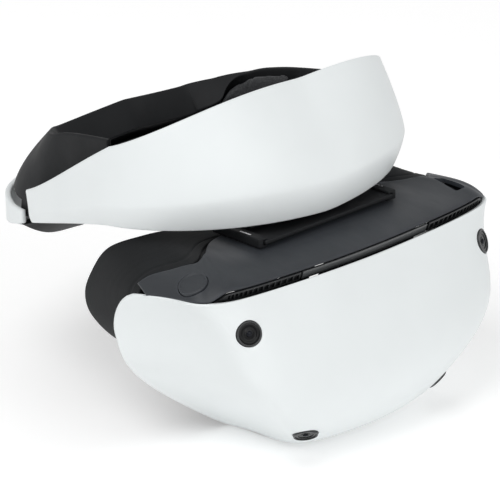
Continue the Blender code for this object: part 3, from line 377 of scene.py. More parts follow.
# meshes
def add(name, data):
    """A new object in the scene."""
    made = bpy.data.objects.new(name, data)
    bpy.context.scene.collection.objects.link(made)
    return made


def new_object(name, bm, sharp=35.0):
    bmesh.ops.recalc_face_normals(bm, faces=bm.faces)
    mesh = bpy.data.meshes.new(name)
    bm.to_mesh(mesh)
    bm.free()
    made = add(name, mesh)
    shade(made, sharp)
    return made


def normals_of(grid, inside, ring=False):
    """Unit normals of a grid of points, turned away from the point inside."""
    if ring:
        grid = np.concatenate([grid[-2:-1], grid, grid[1:2]])
    normal = np.cross(np.gradient(grid, axis=0), np.gradient(grid, axis=1))
    normal = normal / np.maximum(np.linalg.norm(normal, axis=-1, keepdims=True), 1e-12)
    if np.sum(normal * (grid - np.asarray(inside, float))) < 0:
        normal = -normal
    return normal[1:-1] if ring else normal


def spread(count, length, radius):
    """Values of 0 to 1 along a length, with extra ones near both ends to round an edge of that radius."""
    near = radius / length * np.array([0, 0.05, 0.2, 0.45, 0.75, 1.1])
    return np.concatenate([near, np.linspace(near[-1], 1 - near[-1], count)[1:-1], 1 - near[::-1]])


def edge_drop(grid, radius, ring=False):
    """How far the surface falls away near the grid's borders, to round them."""
    def from_ends(points):
        length = np.linalg.norm(np.diff(points, axis=0), axis=-1)
        run = np.concatenate([np.zeros((1, length.shape[1])), np.cumsum(length, axis=0)])
        return np.minimum(run, run[-1] - run)
    distance = from_ends(np.swapaxes(grid, 0, 1)).T
    if not ring:
        distance = np.minimum(distance, from_ends(grid))
    left = np.clip(radius - distance, 0, radius)
    return (radius - np.sqrt(radius ** 2 - left ** 2))[..., None]


def sheet_mesh(outer, inner, ring=False, bm=None):
    """The closed body between two grids of points in millimetres, added to bm or in a new one."""
    rows, columns = outer.shape[:2]
    if ring:
        rows -= 1
        outer, inner = outer[:-1], inner[:-1]
    bm = bm or bmesh.new()
    front, back = ([[bm.verts.new(p) for p in row] for row in placed(side)] for side in (outer, inner))
    for i in range(rows if ring else rows - 1):
        j = (i + 1) % rows
        for k in range(columns - 1):
            bm.faces.new((front[i][k], front[j][k], front[j][k + 1], front[i][k + 1]))
            bm.faces.new((back[i][k], back[i][k + 1], back[j][k + 1], back[j][k]))
        for k in (0, columns - 1):
            bm.faces.new((front[i][k], back[i][k], back[j][k], front[j][k]))
    if not ring:
        for i in (0, rows - 1):
            for k in range(columns - 1):
                bm.faces.new((front[i][k], front[i][k + 1], back[i][k + 1], back[i][k]))
    return bm


def sheet(name, outer, inner, ring=False, sharp=35.0):
    return new_object(name, sheet_mesh(outer, inner, ring), sharp)


def wall(grid, depth, thickness, radius, inside):
    """The outer and inner face of a wall with rounded edges, a depth under a surface's grid."""
    normal = normals_of(grid, inside)
    drop = edge_drop(grid, radius)
    return grid - normal * (depth + drop), grid - normal * (depth + thickness - drop)


def mesh_grid(u, v):
    return np.meshgrid(np.asarray(u, float), np.asarray(v, float), indexing="ij")


def rounded(profile, radius, steps=5):
    """A closed outline of (radius, height) points with its corners rounded, leaving those on the axis."""
    points = [np.array(p, float) for p in profile]
    made = []
    for k, here in enumerate(points):
        before, after = points[k - 1], points[(k + 1) % len(points)]
        near, far = before - here, after - here
        lengths = np.linalg.norm(near), np.linalg.norm(far)
        if here[0] < 1e-6 or min(lengths) < 1e-6:
            made.append(here)
            continue
        cut = min(radius, 0.45 * min(lengths))
        start, end = here + near / lengths[0] * cut, here + far / lengths[1] * cut
        for s in np.linspace(0, 1, steps):
            made.append((1 - s) ** 2 * start + 2 * s * (1 - s) * here + s * s * end)
    return made


def turned(name, profile, base, direction, sides=96, edge=0.3, radius_at=None):
    """A body turned about a direction from base; radius_at(angle, radius) may vary the radius round it."""
    bm = bmesh.new()
    rings = []
    for radius, height in rounded(profile, edge):
        if radius < 1e-6:
            rings.append([bm.verts.new((0, 0, height * MM))])
            continue
        ring = []
        for k in range(sides):
            angle = 2 * pi * k / sides
            wide = radius_at(angle, radius) if radius_at else radius
            ring.append(bm.verts.new((wide * MM * cos(angle), wide * MM * sin(angle), height * MM)))
        rings.append(ring)
    pairs = list(zip(rings, rings[1:]))
    if len(rings[0]) > 1 or len(rings[-1]) > 1:
        pairs.append((rings[-1], rings[0]))
    for low, high in pairs:
        for k in range(sides):
            n = (k + 1) % sides
            corners = [low[k % len(low)], low[n % len(low)], high[n % len(high)], high[k % len(high)]]
            corners = list(dict.fromkeys(corners))
            if len(corners) > 2:
                bm.faces.new(corners)
    turn = Vector(direction).normalized().to_track_quat("Z", "Y").to_matrix().to_4x4()
    bm.transform(Matrix.Translation(place(base)) @ turn)
    return new_object(name, bm)


def block(name, centre, size, bevel=0.5):
    bm = bmesh.new()
    bmesh.ops.create_cube(bm, size=1.0)
    bm.transform(Matrix.Diagonal((size[0] * MM, size[1] * MM, size[2] * MM, 1.0)))
    bmesh.ops.bevel(bm, geom=bm.edges[:], offset=bevel * MM, segments=4, affect="EDGES", profile=0.5)
    bm.transform(Matrix.Translation(place(centre)))
    return new_object(name, bm)


def boolean(target, tools, operation="DIFFERENCE"):
    """Cuts (or joins) the tools and leaves the result as the target's own mesh."""
    for tool in tools:
        step = target.modifiers.new(tool.name, "BOOLEAN")
        step.operation = operation
        step.object = tool
        step.solver = "EXACT"
    settle(target)
    for tool in tools:
        bpy.data.objects.remove(tool)
    shade(target)


def settle(made):
    """Applies an object's modifiers to its mesh."""
    graph = bpy.context.evaluated_depsgraph_get()
    mesh = bpy.data.meshes.new_from_object(made.evaluated_get(graph))
    made.modifiers.clear()
    made.data = mesh
    mesh.name = made.name


# materials
def linear(*srgb):
    return tuple(c / 12.92 if c <= 0.04045 else ((c + 0.055) / 1.055) ** 2.4 for c in srgb)


def shaded(colour, share):
    return tuple(c * share for c in colour)


class Finish:
    """A material made node by node; textures read the object's own coordinates, in metres."""

    def __init__(self, name):
        self.name = name
        self.material = bpy.data.materials.new(name)
        self.material.use_nodes = True
        self.tree = self.material.node_tree
        self.coordinates = self.node("TexCoord", {}).outputs["Object"]

    def node(self, kind, inputs, **settings):
        made = self.tree.nodes.new("ShaderNode" + kind)
        for key, value in settings.items():
            setattr(made, key, value)
        for key, value in inputs.items():
            self.put(made.inputs[key], value)
        return made

    def put(self, socket, value):
        """Links a socket from another one, or gives it a value."""
        if isinstance(value, bpy.types.NodeSocket):
            self.tree.links.new(value, socket)
        else:
            socket.default_value = (*value, 1.0) if socket.type == "RGBA" else value

    def set(self, **values):
        """Sets or links the shader's own sockets."""
        for key, value in values.items():
            self.put(self.tree.nodes["Principled BSDF"].inputs[key.replace("_", " ")], value)
        return self

    def noise(self, size, detail=2.0, roughness=0.5, stretch=None):
        """Noise with features of about that size in millimetres."""
        place_at = self.coordinates
        if stretch:
            place_at = self.node("Mapping", {"Vector": place_at, "Scale": stretch}).outputs["Vector"]
        return self.node("TexNoise", {"Vector": place_at, "Scale": 1 / (size * MM), "Detail": detail,
                                      "Roughness": roughness}).outputs["Fac"]

    def cells(self, size, feature="F1"):
        return self.node("TexVoronoi", {"Vector": self.coordinates, "Scale": 1 / (size * MM)},
                         feature=feature).outputs["Distance"]

    def ramp(self, source, low=0.0, high=1.0, start=0.3, end=0.7):
        """The source, from start to end, as values from low to high."""
        return self.node("MapRange", {"Value": source, "From Min": start, "From Max": end, "To Min": low,
                                      "To Max": high}, clamp=True).outputs["Result"]

    def mix(self, share, first, second):
        """Two colours mixed; 6, 7 and 2 are the node's colour sockets."""
        return self.node("Mix", {0: share, 6: first, 7: second}, data_type="RGBA").outputs[2]

    def tones(self, source, colour, low, high, start=0.3, end=0.7):
        """The colour, from the low share of itself to the high one."""
        return self.mix(self.ramp(source, start=start, end=end), shaded(colour, low), shaded(colour, high))

    def worn(self, plain, colour, hollow, ridge):
        """The plain colour, darker in hollows and rubbed lighter on ridges by those shares of the colour."""
        sharp = self.node("NewGeometry", {}).outputs["Pointiness"]
        patch = self.ramp(self.noise(6.0, 3.0, 0.6), 0.3, 1.0, 0.35, 0.6)
        edge = self.node("Math", {0: self.ramp(sharp, 0.0, 1.0, 0.51, 0.56), 1: patch}, operation="MULTIPLY")
        rubbed = self.mix(edge.outputs["Value"], plain, shaded(colour, ridge))
        return self.mix(self.ramp(sharp, 1.0, 0.0, 0.44, 0.49), rubbed, shaded(colour, hollow))

    def bump(self, *layers):
        """Each layer is a height source and its depth in millimetres."""
        normal = {}
        for source, depth in layers:
            made = self.node("Bump", {"Strength": 1.0, "Distance": depth * MM, "Height": source, **normal})
            normal = {"Normal": made.outputs["Normal"]}
        self.set(**normal)


def moulded(name, colour, rough, grain=0.45, depth=0.012, tone=0.06, shine=0.5):
    """Moulded plastic: a fine grain, slow tone changes from the flow, and smoother rubbed places."""
    made = Finish(name)
    plain = made.tones(made.noise(38.0), colour, 1 - tone, 1 + tone)
    rubbed = made.ramp(made.noise(15.0, 4.0, 0.55), rough - 0.04, rough + 0.05)
    made.bump((made.noise(70.0, 1.0), 0.05), (made.cells(grain * 1.5), depth * 0.6),
              (made.noise(grain, 3.0, 0.6), depth))
    return made.set(Base_Color=made.worn(plain, colour, 0.9, 1.06), Roughness=rubbed, IOR=1.5,
                    Specular_IOR_Level=shine)


def soft_touch(name, colour, sheen):
    """Soft-touch coated plastic: matt, with a dusty bloom and faint wipe marks."""
    made = Finish(name)
    wipe = made.noise(9.0, 4.0, 0.6, (1.0, 0.35, 1.0))
    tone = made.tones(made.noise(55.0), colour, 0.92, 1.1)
    wiped = made.mix(made.ramp(wipe, 0.0, 0.35, 0.45, 0.8), tone, shaded(colour, 1.22))
    made.bump((made.cells(0.6), 0.008), (made.noise(0.35, 2.0, 0.6), 0.01))
    return made.set(Base_Color=made.worn(wiped, colour, 0.7, 1.9), Roughness=made.ramp(wipe, 0.46, 0.58),
                    Sheen_Weight=sheen, Sheen_Roughness=0.45, Sheen_Tint=(0.75, 0.82, 0.92), IOR=1.45)


def gloss(name, colour, rough=0.08, shine=0.5, coat=0.35):
    """Polished plastic with faint hairline wiping and a few dust specks."""
    made = Finish(name)
    hair = made.noise(0.5, 3.0, 0.6, (0.06, 1.0, 1.0))
    dust = made.ramp(made.cells(5.0), 0.35, 0.0, 0.012, 0.03)
    tone = made.tones(made.noise(20.0), colour, 0.85, 1.2)
    made.bump((made.noise(12.0, 1.0), 0.012))
    return made.set(Base_Color=made.mix(dust, tone, shaded(colour, 3.0)), IOR=1.52, Specular_IOR_Level=shine,
                    Roughness=made.ramp(hair, rough * 0.7, rough * 1.6), Coat_Weight=coat, Coat_Roughness=0.03)


def rubber(name, colour):
    """Moulded silicone rubber: matt with a fine pebble, a chalky bloom and small pores."""
    made = Finish(name)
    bloom = made.noise(25.0, 4.0, 0.55)
    pores = made.ramp(made.cells(2.3), 0.25, 0.0, 0.05, 0.12)
    tone = made.tones(bloom, colour, 0.9, 1.35, 0.35, 0.75)
    made.bump((made.cells(0.9), 0.03), (made.noise(0.4), 0.012))
    return made.set(Base_Color=made.mix(pores, tone, shaded(colour, 0.5)),
                    Roughness=made.ramp(bloom, 0.62, 0.78), Sheen_Weight=0.03, Sheen_Roughness=0.5, IOR=1.4, Specular_IOR_Level=0.16)


def leatherette(name, colour):
    """Coated fabric over foam: a creased grain of small plates, pinch wrinkles and worn high spots."""
    made = Finish(name)
    edges = made.cells(1.5, "DISTANCE_TO_EDGE")
    tone = made.tones(edges, colour, 0.55, 1.1, 0.02, 0.22)
    high_spots = made.ramp(made.noise(18.0, 3.0), 0.0, 0.5, 0.4, 0.8)
    made.bump((made.noise(7.0, 4.0, 0.6, (1.0, 1.0, 2.2)), 0.12), (made.ramp(edges, start=0.0, end=0.2), 0.08))
    return made.set(Base_Color=made.mix(high_spots, tone, shaded(colour, 1.5)), Sheen_Weight=0.04, IOR=1.43,
                    Roughness=made.ramp(made.cells(1.5), 0.48, 0.64, 0.1, 0.7))


def metal(name, colour, rough, brush):
    """Metal with a brushed or turned grain and slight tarnish."""
    made = Finish(name)
    grain = made.noise(0.8, 3.0, 0.65, brush)
    made.bump((grain, 0.008))
    return made.set(Base_Color=made.tones(made.noise(6.0, 3.0), colour, 0.82, 1.0), Metallic=1.0,
                    Roughness=made.ramp(grain, rough - 0.08, rough + 0.12))


def circuit(name):
    """Solder mask over tracks, with pads and white print dashes."""
    made = Finish(name)
    tracks = made.node("TexWave", {"Vector": made.coordinates, "Scale": 160.0, "Distortion": 9.0,
                                   "Detail Scale": 40.0}, bands_direction="DIAGONAL").outputs["Fac"]
    mask = made.mix(made.ramp(tracks, start=0.5, end=0.55), linear(0.06, 0.2, 0.13), linear(0.1, 0.3, 0.2))
    pads = made.ramp(made.cells(2.6), 1.0, 0.0, 0.1, 0.13)
    made.bump((tracks, 0.03))
    return made.set(Base_Color=made.mix(pads, mask, linear(0.75, 0.68, 0.45)), Metallic=pads,
                    Roughness=made.ramp(made.noise(4.0), 0.3, 0.5))


def glass(name):
    """Moulded lens: clear, faintly tinted by its coating, with fine rings from the mould."""
    made = Finish(name)
    made.bump((made.noise(9.0, 1.0), 0.004))
    tint = made.mix(made.ramp(made.noise(15.0)), (0.80, 0.84, 0.88), (0.88, 0.9, 0.95))
    return made.set(Base_Color=tint, Roughness=made.ramp(made.noise(6.0, 3.0), 0.02, 0.06), IOR=1.49,
                    Transmission_Weight=0.92, Coat_Weight=0.4, Coat_Tint=(0.8, 0.75, 1.0))


def screen(name):
    """Display glass over a faint grid of pixels."""
    made = Finish(name)
    made.bump((made.noise(0.5), 0.004))
    grid = made.ramp(made.cells(0.5), start=0.2, end=0.4)
    pixels = made.mix(grid, (0.006, 0.007, 0.01), (0.016, 0.017, 0.024))
    return made.set(Base_Color=pixels, Roughness=made.ramp(made.noise(8.0), 0.05, 0.12))


WHITE = linear(0.885, 0.902, 0.904)
DARK = linear(0.165, 0.177, 0.194)
BLACK = linear(0.06, 0.064, 0.07)
FINISHES = {made.name: made for made in (
    moulded("white_shell", WHITE, 0.42, tone=0.015),
    soft_touch("dark_plastic", DARK, 0.05),
    # a darker copy of dark_plastic for the inner and rear parts: its extra darkness is painted shade
    moulded("dark_plastic_painted_shade", linear(0.105, 0.11, 0.118), 0.6, grain=0.7, depth=0.02, shine=0.22),
    moulded("vent", linear(0.09, 0.094, 0.1), 0.4, grain=0.5, depth=0.01),
    gloss("gloss_black", BLACK),
    gloss("trim", linear(0.17, 0.175, 0.18), 0.14),
    gloss("window", shaded(BLACK, 0.6), 0.16, 0.18, 0.06),
    gloss("camera_glass", linear(0.05, 0.06, 0.09), 0.03, 0.15, 0.05),
    rubber("soft_rubber", linear(0.115, 0.12, 0.126)),
    leatherette("pad_skin", linear(0.165, 0.17, 0.18)),
    metal("steel", (0.6, 0.6, 0.62), 0.3, (0.08, 1.0, 1.0)),
    metal("alloy", (0.5, 0.51, 0.53), 0.42, (1.0, 1.0, 0.1)),
    circuit("circuit_board"),
    glass("lens"),
    screen("screen"),
    moulded("grey_plastic", linear(0.56, 0.57, 0.58), 0.48, tone=0.04),
    moulded("bezel", linear(0.17, 0.175, 0.18), 0.3, grain=0.3, depth=0.006),
)}


def dress(made, look, body, *nodes):
    """Gives a piece its finish, hides the CAD nodes it stands for and ties it to the body it moves with."""
    made.data.materials.clear()
    made.data.materials.append(FINISHES[look].material)
    if nodes:
        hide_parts(*nodes)
    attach(made, body)


# scope casing
def point_on(surface, u, v, step, towards):
    """A point of a surface and its normal, on the side that faces towards."""
    here, along, down = (surface(np.array([[a]]), np.array([[b]]))[0, 0]
                         for a, b in ((u, v), (u + step, v), (u, v + step)))
    normal = unit(np.cross(along - here, down - here))
    return here, normal if normal @ towards > 0 else -normal


def shell_point(u, h):
    return point_on(shell_surface, u, h, 1e-3, (0, -1, 0))


def disc(name, radius, height, base, direction, sides=64):
    return turned(name, [(0, 0), (radius, 0), (radius, height), (0, height)], base, direction, sides, edge=0.05)


def front_shell():
    u, h = mesh_grid(2 * spread(110, 330, SHELL_EDGE) - 1, spread(60, 130, SHELL_EDGE))
    grid = shell_surface(u, h)
    outer, inner = wall(grid, 0, SHELL_WALL, SHELL_EDGE, SCOPE_INSIDE)
    inner[..., 2] = np.minimum(inner[..., 2], grid[:, :1, 2])
    shell = sheet("front_shell_skin", outer, inner)
    holes = []
    for name, (across, down) in CAMERA_PLACES.items():
        spot, out = shell_point(across, down)
        holes.append(disc(name + "_hole", CAMERA_R + GAP, 14.0, spot - out * 8, out))
    boolean(shell, holes)
    dress(shell, "white_shell", "scope", "front_shell")


def shade(made, sharp=32.0):
    made.data.shade_smooth()
    made.data.set_sharp_from_angle(angle=radians(sharp))


def top_cover():
    u, t = mesh_grid(COVER_REACH * (2 * spread(120, 290, COVER_EDGE) - 1), spread(34, 60, COVER_EDGE) ** 1.2)
    grid = cover_surface(u, t)
    outer, inner = wall(grid, 0, COVER_WALL, COVER_EDGE, SCOPE_INSIDE)
    inner[..., 2] = np.maximum(inner[..., 2], grid[:, :1, 2] - 0.25)
    cover = sheet("top_cover_skin", outer, inner)
    spot, out = scope_button_place()
    hole = disc("scope_button_hole", SCOPE_BUTTON_R + GAP, 16.0, spot - out * 8, out)
    slot = block("dial_slot", (IPD_DIAL_X, SCREW_Y, 18), (IPD_DIAL_WIDTH + 2.4, IPD_SLOT, 16), 1.5)
    boolean(cover, [hole, slot])
    dress(cover, "dark_plastic", "scope", "top_cover")


def strip(start, end, columns, low, high, front, back):
    """A length of the vent strip: low to high of its height, front to back in depth."""
    u, t = mesh_grid(np.linspace(start, end, columns), np.linspace(low, high, 6))
    line = shell_surface(u, np.zeros_like(u))
    line[..., 0] *= 1 - 0.008 * (1 - t) - 0.024 * smooth((np.abs(u) - 0.45) / 0.15)
    line[..., 1] += 1.0 + 1.6 * (1 - t)
    line[..., 2] += (cover_lift(u) + GAP) * t - 2 * GAP
    return line + (0, front, 0), line + (0, back, 0)


def vent_strip():
    trim = sheet("trim_strip_skin", *strip(-TRIM_SPAN, TRIM_SPAN, 61, 0, 1, 0, 1.6))
    soften(trim, 0.25)
    dress(trim, "trim", "scope", "trim_strip")
    for side, sign in (("right", -1), ("left", 1)):
        dress(grille(side, sign), "vent", "scope", "vent_grille_" + side)


def grille(side, sign):
    """Rails above and below, ribs between them and a plate behind, so that the cells are real recesses."""
    near, far = GRILLE_SPAN
    start, end = sorted((sign * near, sign * far))
    parts = [(start, end, 61, *across) for across in ((0, 0.2, 0, 1.6), (0.8, 1, 0, 1.6), (0.1, 0.9, 1.2, 1.6))]
    half = GRILLE_RIB_HALF
    parts += [(u - half, u + half, 2, 0.1, 0.9, 0.05, 1.5)
              for u in sign * np.linspace(near + half, GRILLE_CELLS, GRILLE_RIBS)]
    parts.append((*sorted((sign * GRILLE_CELLS, sign * far)), 16, 0.1, 0.9, 0.05, 1.5))
    bm = bmesh.new()
    for part in parts:
        sheet_mesh(*strip(*part), bm=bm)
    return new_object("vent_grille_cells_" + side, bm)


def soften(made, width):
    """Rounds an object's sharp edges and applies that."""
    step = made.modifiers.new("edges", "BEVEL")
    step.width = width * MM
    step.segments = 3
    step.limit_method = "ANGLE"
    step.angle_limit = radians(40)
    settle(made)
    shade(made)


def scope_button_place():
    """The button's seat under the cover's right wing, and the cover's normal there."""
    spot, normal = point_on(cover_surface, *SCOPE_BUTTON, 0.01, (0, 0, 1))
    return spot - (0, 0, 2 * GAP), normal


def scope_button():
    """A round key with a raised rim and a shallow dish."""
    spot, out = scope_button_place()
    r = SCOPE_BUTTON_R
    profile = [(0, 0), (r, 0), (r, 2.45), (r - 0.7, 2.75), (r - 1.3, 2.35), (0, 2.0)]
    dress(turned("scope_button_key", profile, spot - out * 2.0, out, 96, 0.25), "dark_plastic", "scope_key",
          "scope_button")


def tracking_cameras():
    """Each camera shows a bezel ring, a dark window with a stepped ring, and a small domed lens."""
    r = CAMERA_R
    bezel = [(r - 0.75, -1.4), (r, -1.4), (r, 0.28), (r - 0.75, 0.28)]
    window = [(0, -1.5), (r - 0.8, -1.5), (r - 0.8, -0.1), (3.7, -0.1), (3.5, -0.45), (2.3, -0.45),
              (2.1, -0.25), (0, -0.25)]
    dome = [(0, -0.3)] + [(1.45 * cos(a), -0.3 + 0.75 * sin(a)) for a in np.linspace(0, pi / 2, 7)]
    for name, (across, down) in CAMERA_PLACES.items():
        spot, out = shell_point(across, down)
        dress(turned(name + "_bezel", bezel, spot, out, 96, 0.22), "bezel", "scope")
        dress(turned(name + "_glass", window, spot, out, 96, 0.12), "window", "scope", name + "_window")
        dress(turned(name + "_dome", dome, spot, out, 48, 0.02), "camera_glass", "scope")


def bottom_cover():
    u, t = mesh_grid(0.93 * (2 * spread(50, 150, 0.6) - 1), spread(14, 40, 0.6))
    front = shell_surface(u, np.ones_like(u)) * (0.955, 1, 1) + (0, 1.4, 0.4)
    rear = np.stack([front[..., 0] * 0.96, 0 * u + SHIELD_FRONT[-1][1] - 1.5, 0 * u - 77.5], -1)
    surface = front + (rear - front) * t[..., None]
    cover = sheet("bottom_cover_skin", surface, surface + (0, 0, SHELL_WALL))
    boolean(cover, [block("foot", (0, REST_PAD_Y, 2.3 - FRAME_Z), (*REST_PAD, 4.6), 1.2)], "UNION")
    boolean(cover, [disc("hole", BOTTOM_BUTTON_R + GAP, 16.0, (x, BOTTOM_BUTTON_Y, -90), (0, 0, 1))
                    for _, x in BOTTOM_BUTTONS.values()])
    dress(cover, "dark_plastic", "scope", "bottom_cover")


def light_shield():
    """Soft rubber hood: a rolled rim, a part line near its seat and shallow ribs."""
    t = spread(44, 45, 0.85)
    surface = shield_surface(SHIELD_STEPS, t)
    normal = normals_of(surface, SHIELD_INSIDE, ring=True)
    drop = edge_drop(surface, 0.85, ring=True)
    seam = np.exp(-((t - 0.16) / 0.014) ** 2) * 0.45
    ribs = 0.04 * np.cos(2 * np.pi * (t - 0.3) * 9) * smooth((t - 0.26) / 0.06) * smooth((0.62 - t) / 0.06)
    outer = surface - normal * (drop + (seam - np.minimum(ribs, 0.0))[None, :, None])
    inner = surface - normal * (SHIELD_WALL - drop)
    dress(sheet("light_shield_hood", outer, inner, True, 50.0), "soft_rubber", "scope", "light_shield")


def shield_rim():
    """The loop round the shield's seat, and the way outward from it in XZ."""
    front = shield_loop(SHIELD_FRONT, SHIELD_STEPS)
    out = (front - front[:-1].mean(axis=0)) * (1, 0, 1)
    return front, unit(out)


def shield_collar():
    """The hood's hem, tucked forward under the cover and behind the shell."""
    front, out = shield_rim()
    t = np.linspace(0, 1, 8)
    path = np.stack([2.2 + 3.6 * t, 2.0 - 9.0 * t], -1)
    surface = front[:, None] - out[:, None] * path[None, :, :1] + np.array([0, 1.0, 0]) * path[None, :, 1:]
    normal = normals_of(surface, SHIELD_INSIDE, ring=True)
    dress(sheet("light_shield_hem", surface, surface - normal * 1.2, True, 50.0), "soft_rubber", "scope")


def shield_flange():
    """The hood's inner flange, which reaches in to the face frame."""
    front, out = shield_rim()
    outer = front - out * 2.4 + (0, 1.8, 0)
    scale = FACE_FRAME_SCALE * 0.975
    reach = FACE_FRAME_HALF - 1.6
    inner = np.stack([np.clip(front[:, 0] * scale, -reach, reach), np.full(len(front), FACE_FRAME_Y[1] + 1.0),
                      EYE_Z + (front[:, 2] - EYE_Z) * scale], -1)
    surface = outer[:, None] + (inner - outer)[:, None] * spread(10, 12, 0.4)[None, :, None]
    dress(sheet("light_shield_flange", surface, surface + (0, -0.8, 0), True, 50.0), "soft_rubber", "scope")


# headband
def band_skin(name, span, rows, depth, thickness, radius, columns=150, steps=40):
    start, end = span
    low, high = rows
    u, v = mesh_grid(start + (end - start) * spread(columns, 300 * (end - start) / 2, radius),
                     low + (high - low) * spread(steps, 55 * (high - low), radius))
    return sheet(name, *wall(band_surface(u, v), depth, thickness, radius, HEAD_INSIDE))


def headband():
    shell = band_skin("band_shell_skin", (-1, 1), (0, 1), 0, BAND_WALL, 1.3)
    dress(shell, "white_shell", "headband", "band_shell")
    reach = 8 / 15
    liner = band_skin("band_liner_skin", (-reach, reach), (0.06, 0.86), BAND_WALL + GAP, LINER_WALL, 0.9)
    dress(liner, "dark_plastic_painted_shade", "headband", "band_liner")
    for side, span in (("right", (-0.93, -0.58)), ("left", (0.58, 0.93))):
        guide = band_skin("arm_guide_plate_" + side, span, (0.3, 0.8), BAND_WALL + GAP, 1.4, 0.5, 30, 16)
        dress(guide, "grey_plastic", "headband", "arm_guide_" + side)


# soft pads
def nearest_on(grid, *facts):
    """A look-up, for points in metres, of what is known at the nearest place of a grid in millimetres."""
    flat = placed(grid.reshape(-1, 3))
    tree = KDTree(len(flat))
    for k, p in enumerate(flat):
        tree.insert(p, k)
    tree.balance()
    facts = [np.asarray(f).reshape(len(flat), -1) for f in facts]

    def look_up(points):
        index = [tree.find(p)[1] for p in points]
        return [f[index] for f in facts]
    return look_up


def swell(made, nearest, cap):
    """Blows the pad up with a cloth simulation, inwards more than towards the wall that it rests on."""
    remesh = made.modifiers.new("remesh", "REMESH")
    remesh.mode = "VOXEL"
    remesh.voxel_size = PAD_VOXEL * MM
    even = made.modifiers.new("even", "SMOOTH")
    even.factor = 0.5
    even.iterations = 6
    settle(made)
    rest = points_of(made)
    cloth = made.modifiers.new("cloth", "CLOTH")
    cloth.settings.use_pressure = True
    cloth.settings.uniform_pressure_force = PAD_PRESSURE
    cloth.settings.effector_weights.gravity = 0.0
    cloth.settings.tension_stiffness = 12
    cloth.settings.bending_stiffness = 0.4
    cloth.point_cache.frame_start = 1
    cloth.point_cache.frame_end = PAD_FRAMES
    scene = bpy.context.scene
    for frame_number in range(1, PAD_FRAMES + 1):
        scene.frame_set(frame_number)
    settle(made)
    scene.frame_set(1)
    moved = points_of(made) - rest
    length = np.linalg.norm(moved, axis=1, keepdims=True)
    moved = moved * np.minimum(1, cap * MM / np.maximum(length, 1e-9))
    out = nearest(rest)[0]
    push = np.sum(moved * out, axis=1, keepdims=True)
    moved = moved - out * np.maximum(push - 0.1 * MM, 0)
    write_points(made, rest + moved)
    made.modifiers.new("finer", "SUBSURF").levels = 1
    settle(made)


def points_of(made):
    return np.array([v.co for v in made.data.vertices])


def write_points(made, points):
    made.data.vertices.foreach_set("co", np.asarray(points, np.float32).ravel())
    made.data.update()


def sew(made, nearest, seams, depth, width):
    """Presses sewn channels into the pad; seams(u, v) is the distance from the nearest seam in millimetres."""
    points = points_of(made)
    _, u, v = nearest(points)
    away = seams(u[:, 0], v[:, 0])
    side = np.array([n.vector for n in made.data.vertex_normals])
    press = depth * np.exp(-(away / width) ** 2)
    write_points(made, points - side * (press * MM)[:, None])
    shade(made, 180.0)


def pad(name, near, far, normal, edge, nearest, cap, seams, sewing, body, node):
    """A slab between two depths with well rounded edges, swollen, then sewn."""
    drop = edge_drop(near, edge)
    slab = sheet(name, near - normal * drop, far + normal * drop, sharp=180.0)
    swell(slab, nearest, cap)
    sew(slab, nearest, seams, *sewing)
    dress(slab, "pad_skin", body, node)


def forehead_pad():
    reach, low, high = 7 / 15, 0.06, 0.71
    u, v = mesh_grid(np.linspace(-reach, reach, 90), np.linspace(low, high, 26))
    grid = band_surface(u, v)
    normal = normals_of(grid, HEAD_INSIDE)
    near = BAND_WALL + LINER_WALL + 4 * GAP + 0.5
    pitch = reach / 3.5

    def seams(across, down):
        nearby = np.abs((across / pitch + 0.5) % 1 - 0.5) * pitch * 150
        return np.where(np.abs(across) < reach * 0.9, nearby, 9.0)
    pad("forehead_cushion", grid - normal * near, grid - normal * (near + FOREHEAD_PAD - 1.6), normal, 3.2,
        nearest_on(grid, normal, u, v), 3.0, seams, (1.5, 1.6), "headband", "forehead_pad")


def rear_pad():
    reach = 12 / 13
    w, v = mesh_grid(np.linspace(-reach, reach, 90), np.linspace(0, 1, 34))
    surface = rear_band(w, v, 2.0)
    normal = normals_of(surface, HEAD_INSIDE)
    a = (1 - np.abs(w))[..., None]
    near = REAR_WALL + 6 * GAP + rear_depth(a) + 0.3
    surface = surface + undercut(w, v)
    thin, more = REAR_PAD

    def seams(across, down):
        middle = np.abs(down - 0.5) * 60
        nearby = np.abs((across * 4 + 0.5) % 1 - 0.5) / 4 * 220
        return np.where(np.abs(across) < 0.8, np.minimum(nearby, middle), 9.0)
    pad("rear_cushion", surface - normal * near, surface - normal * (near + thin + more * a - 1.2), normal, 2.8,
        nearest_on(surface - normal * near, normal, w, v), 2.6, seams, (1.3, 1.5), "rear_unit", "rear_pad")


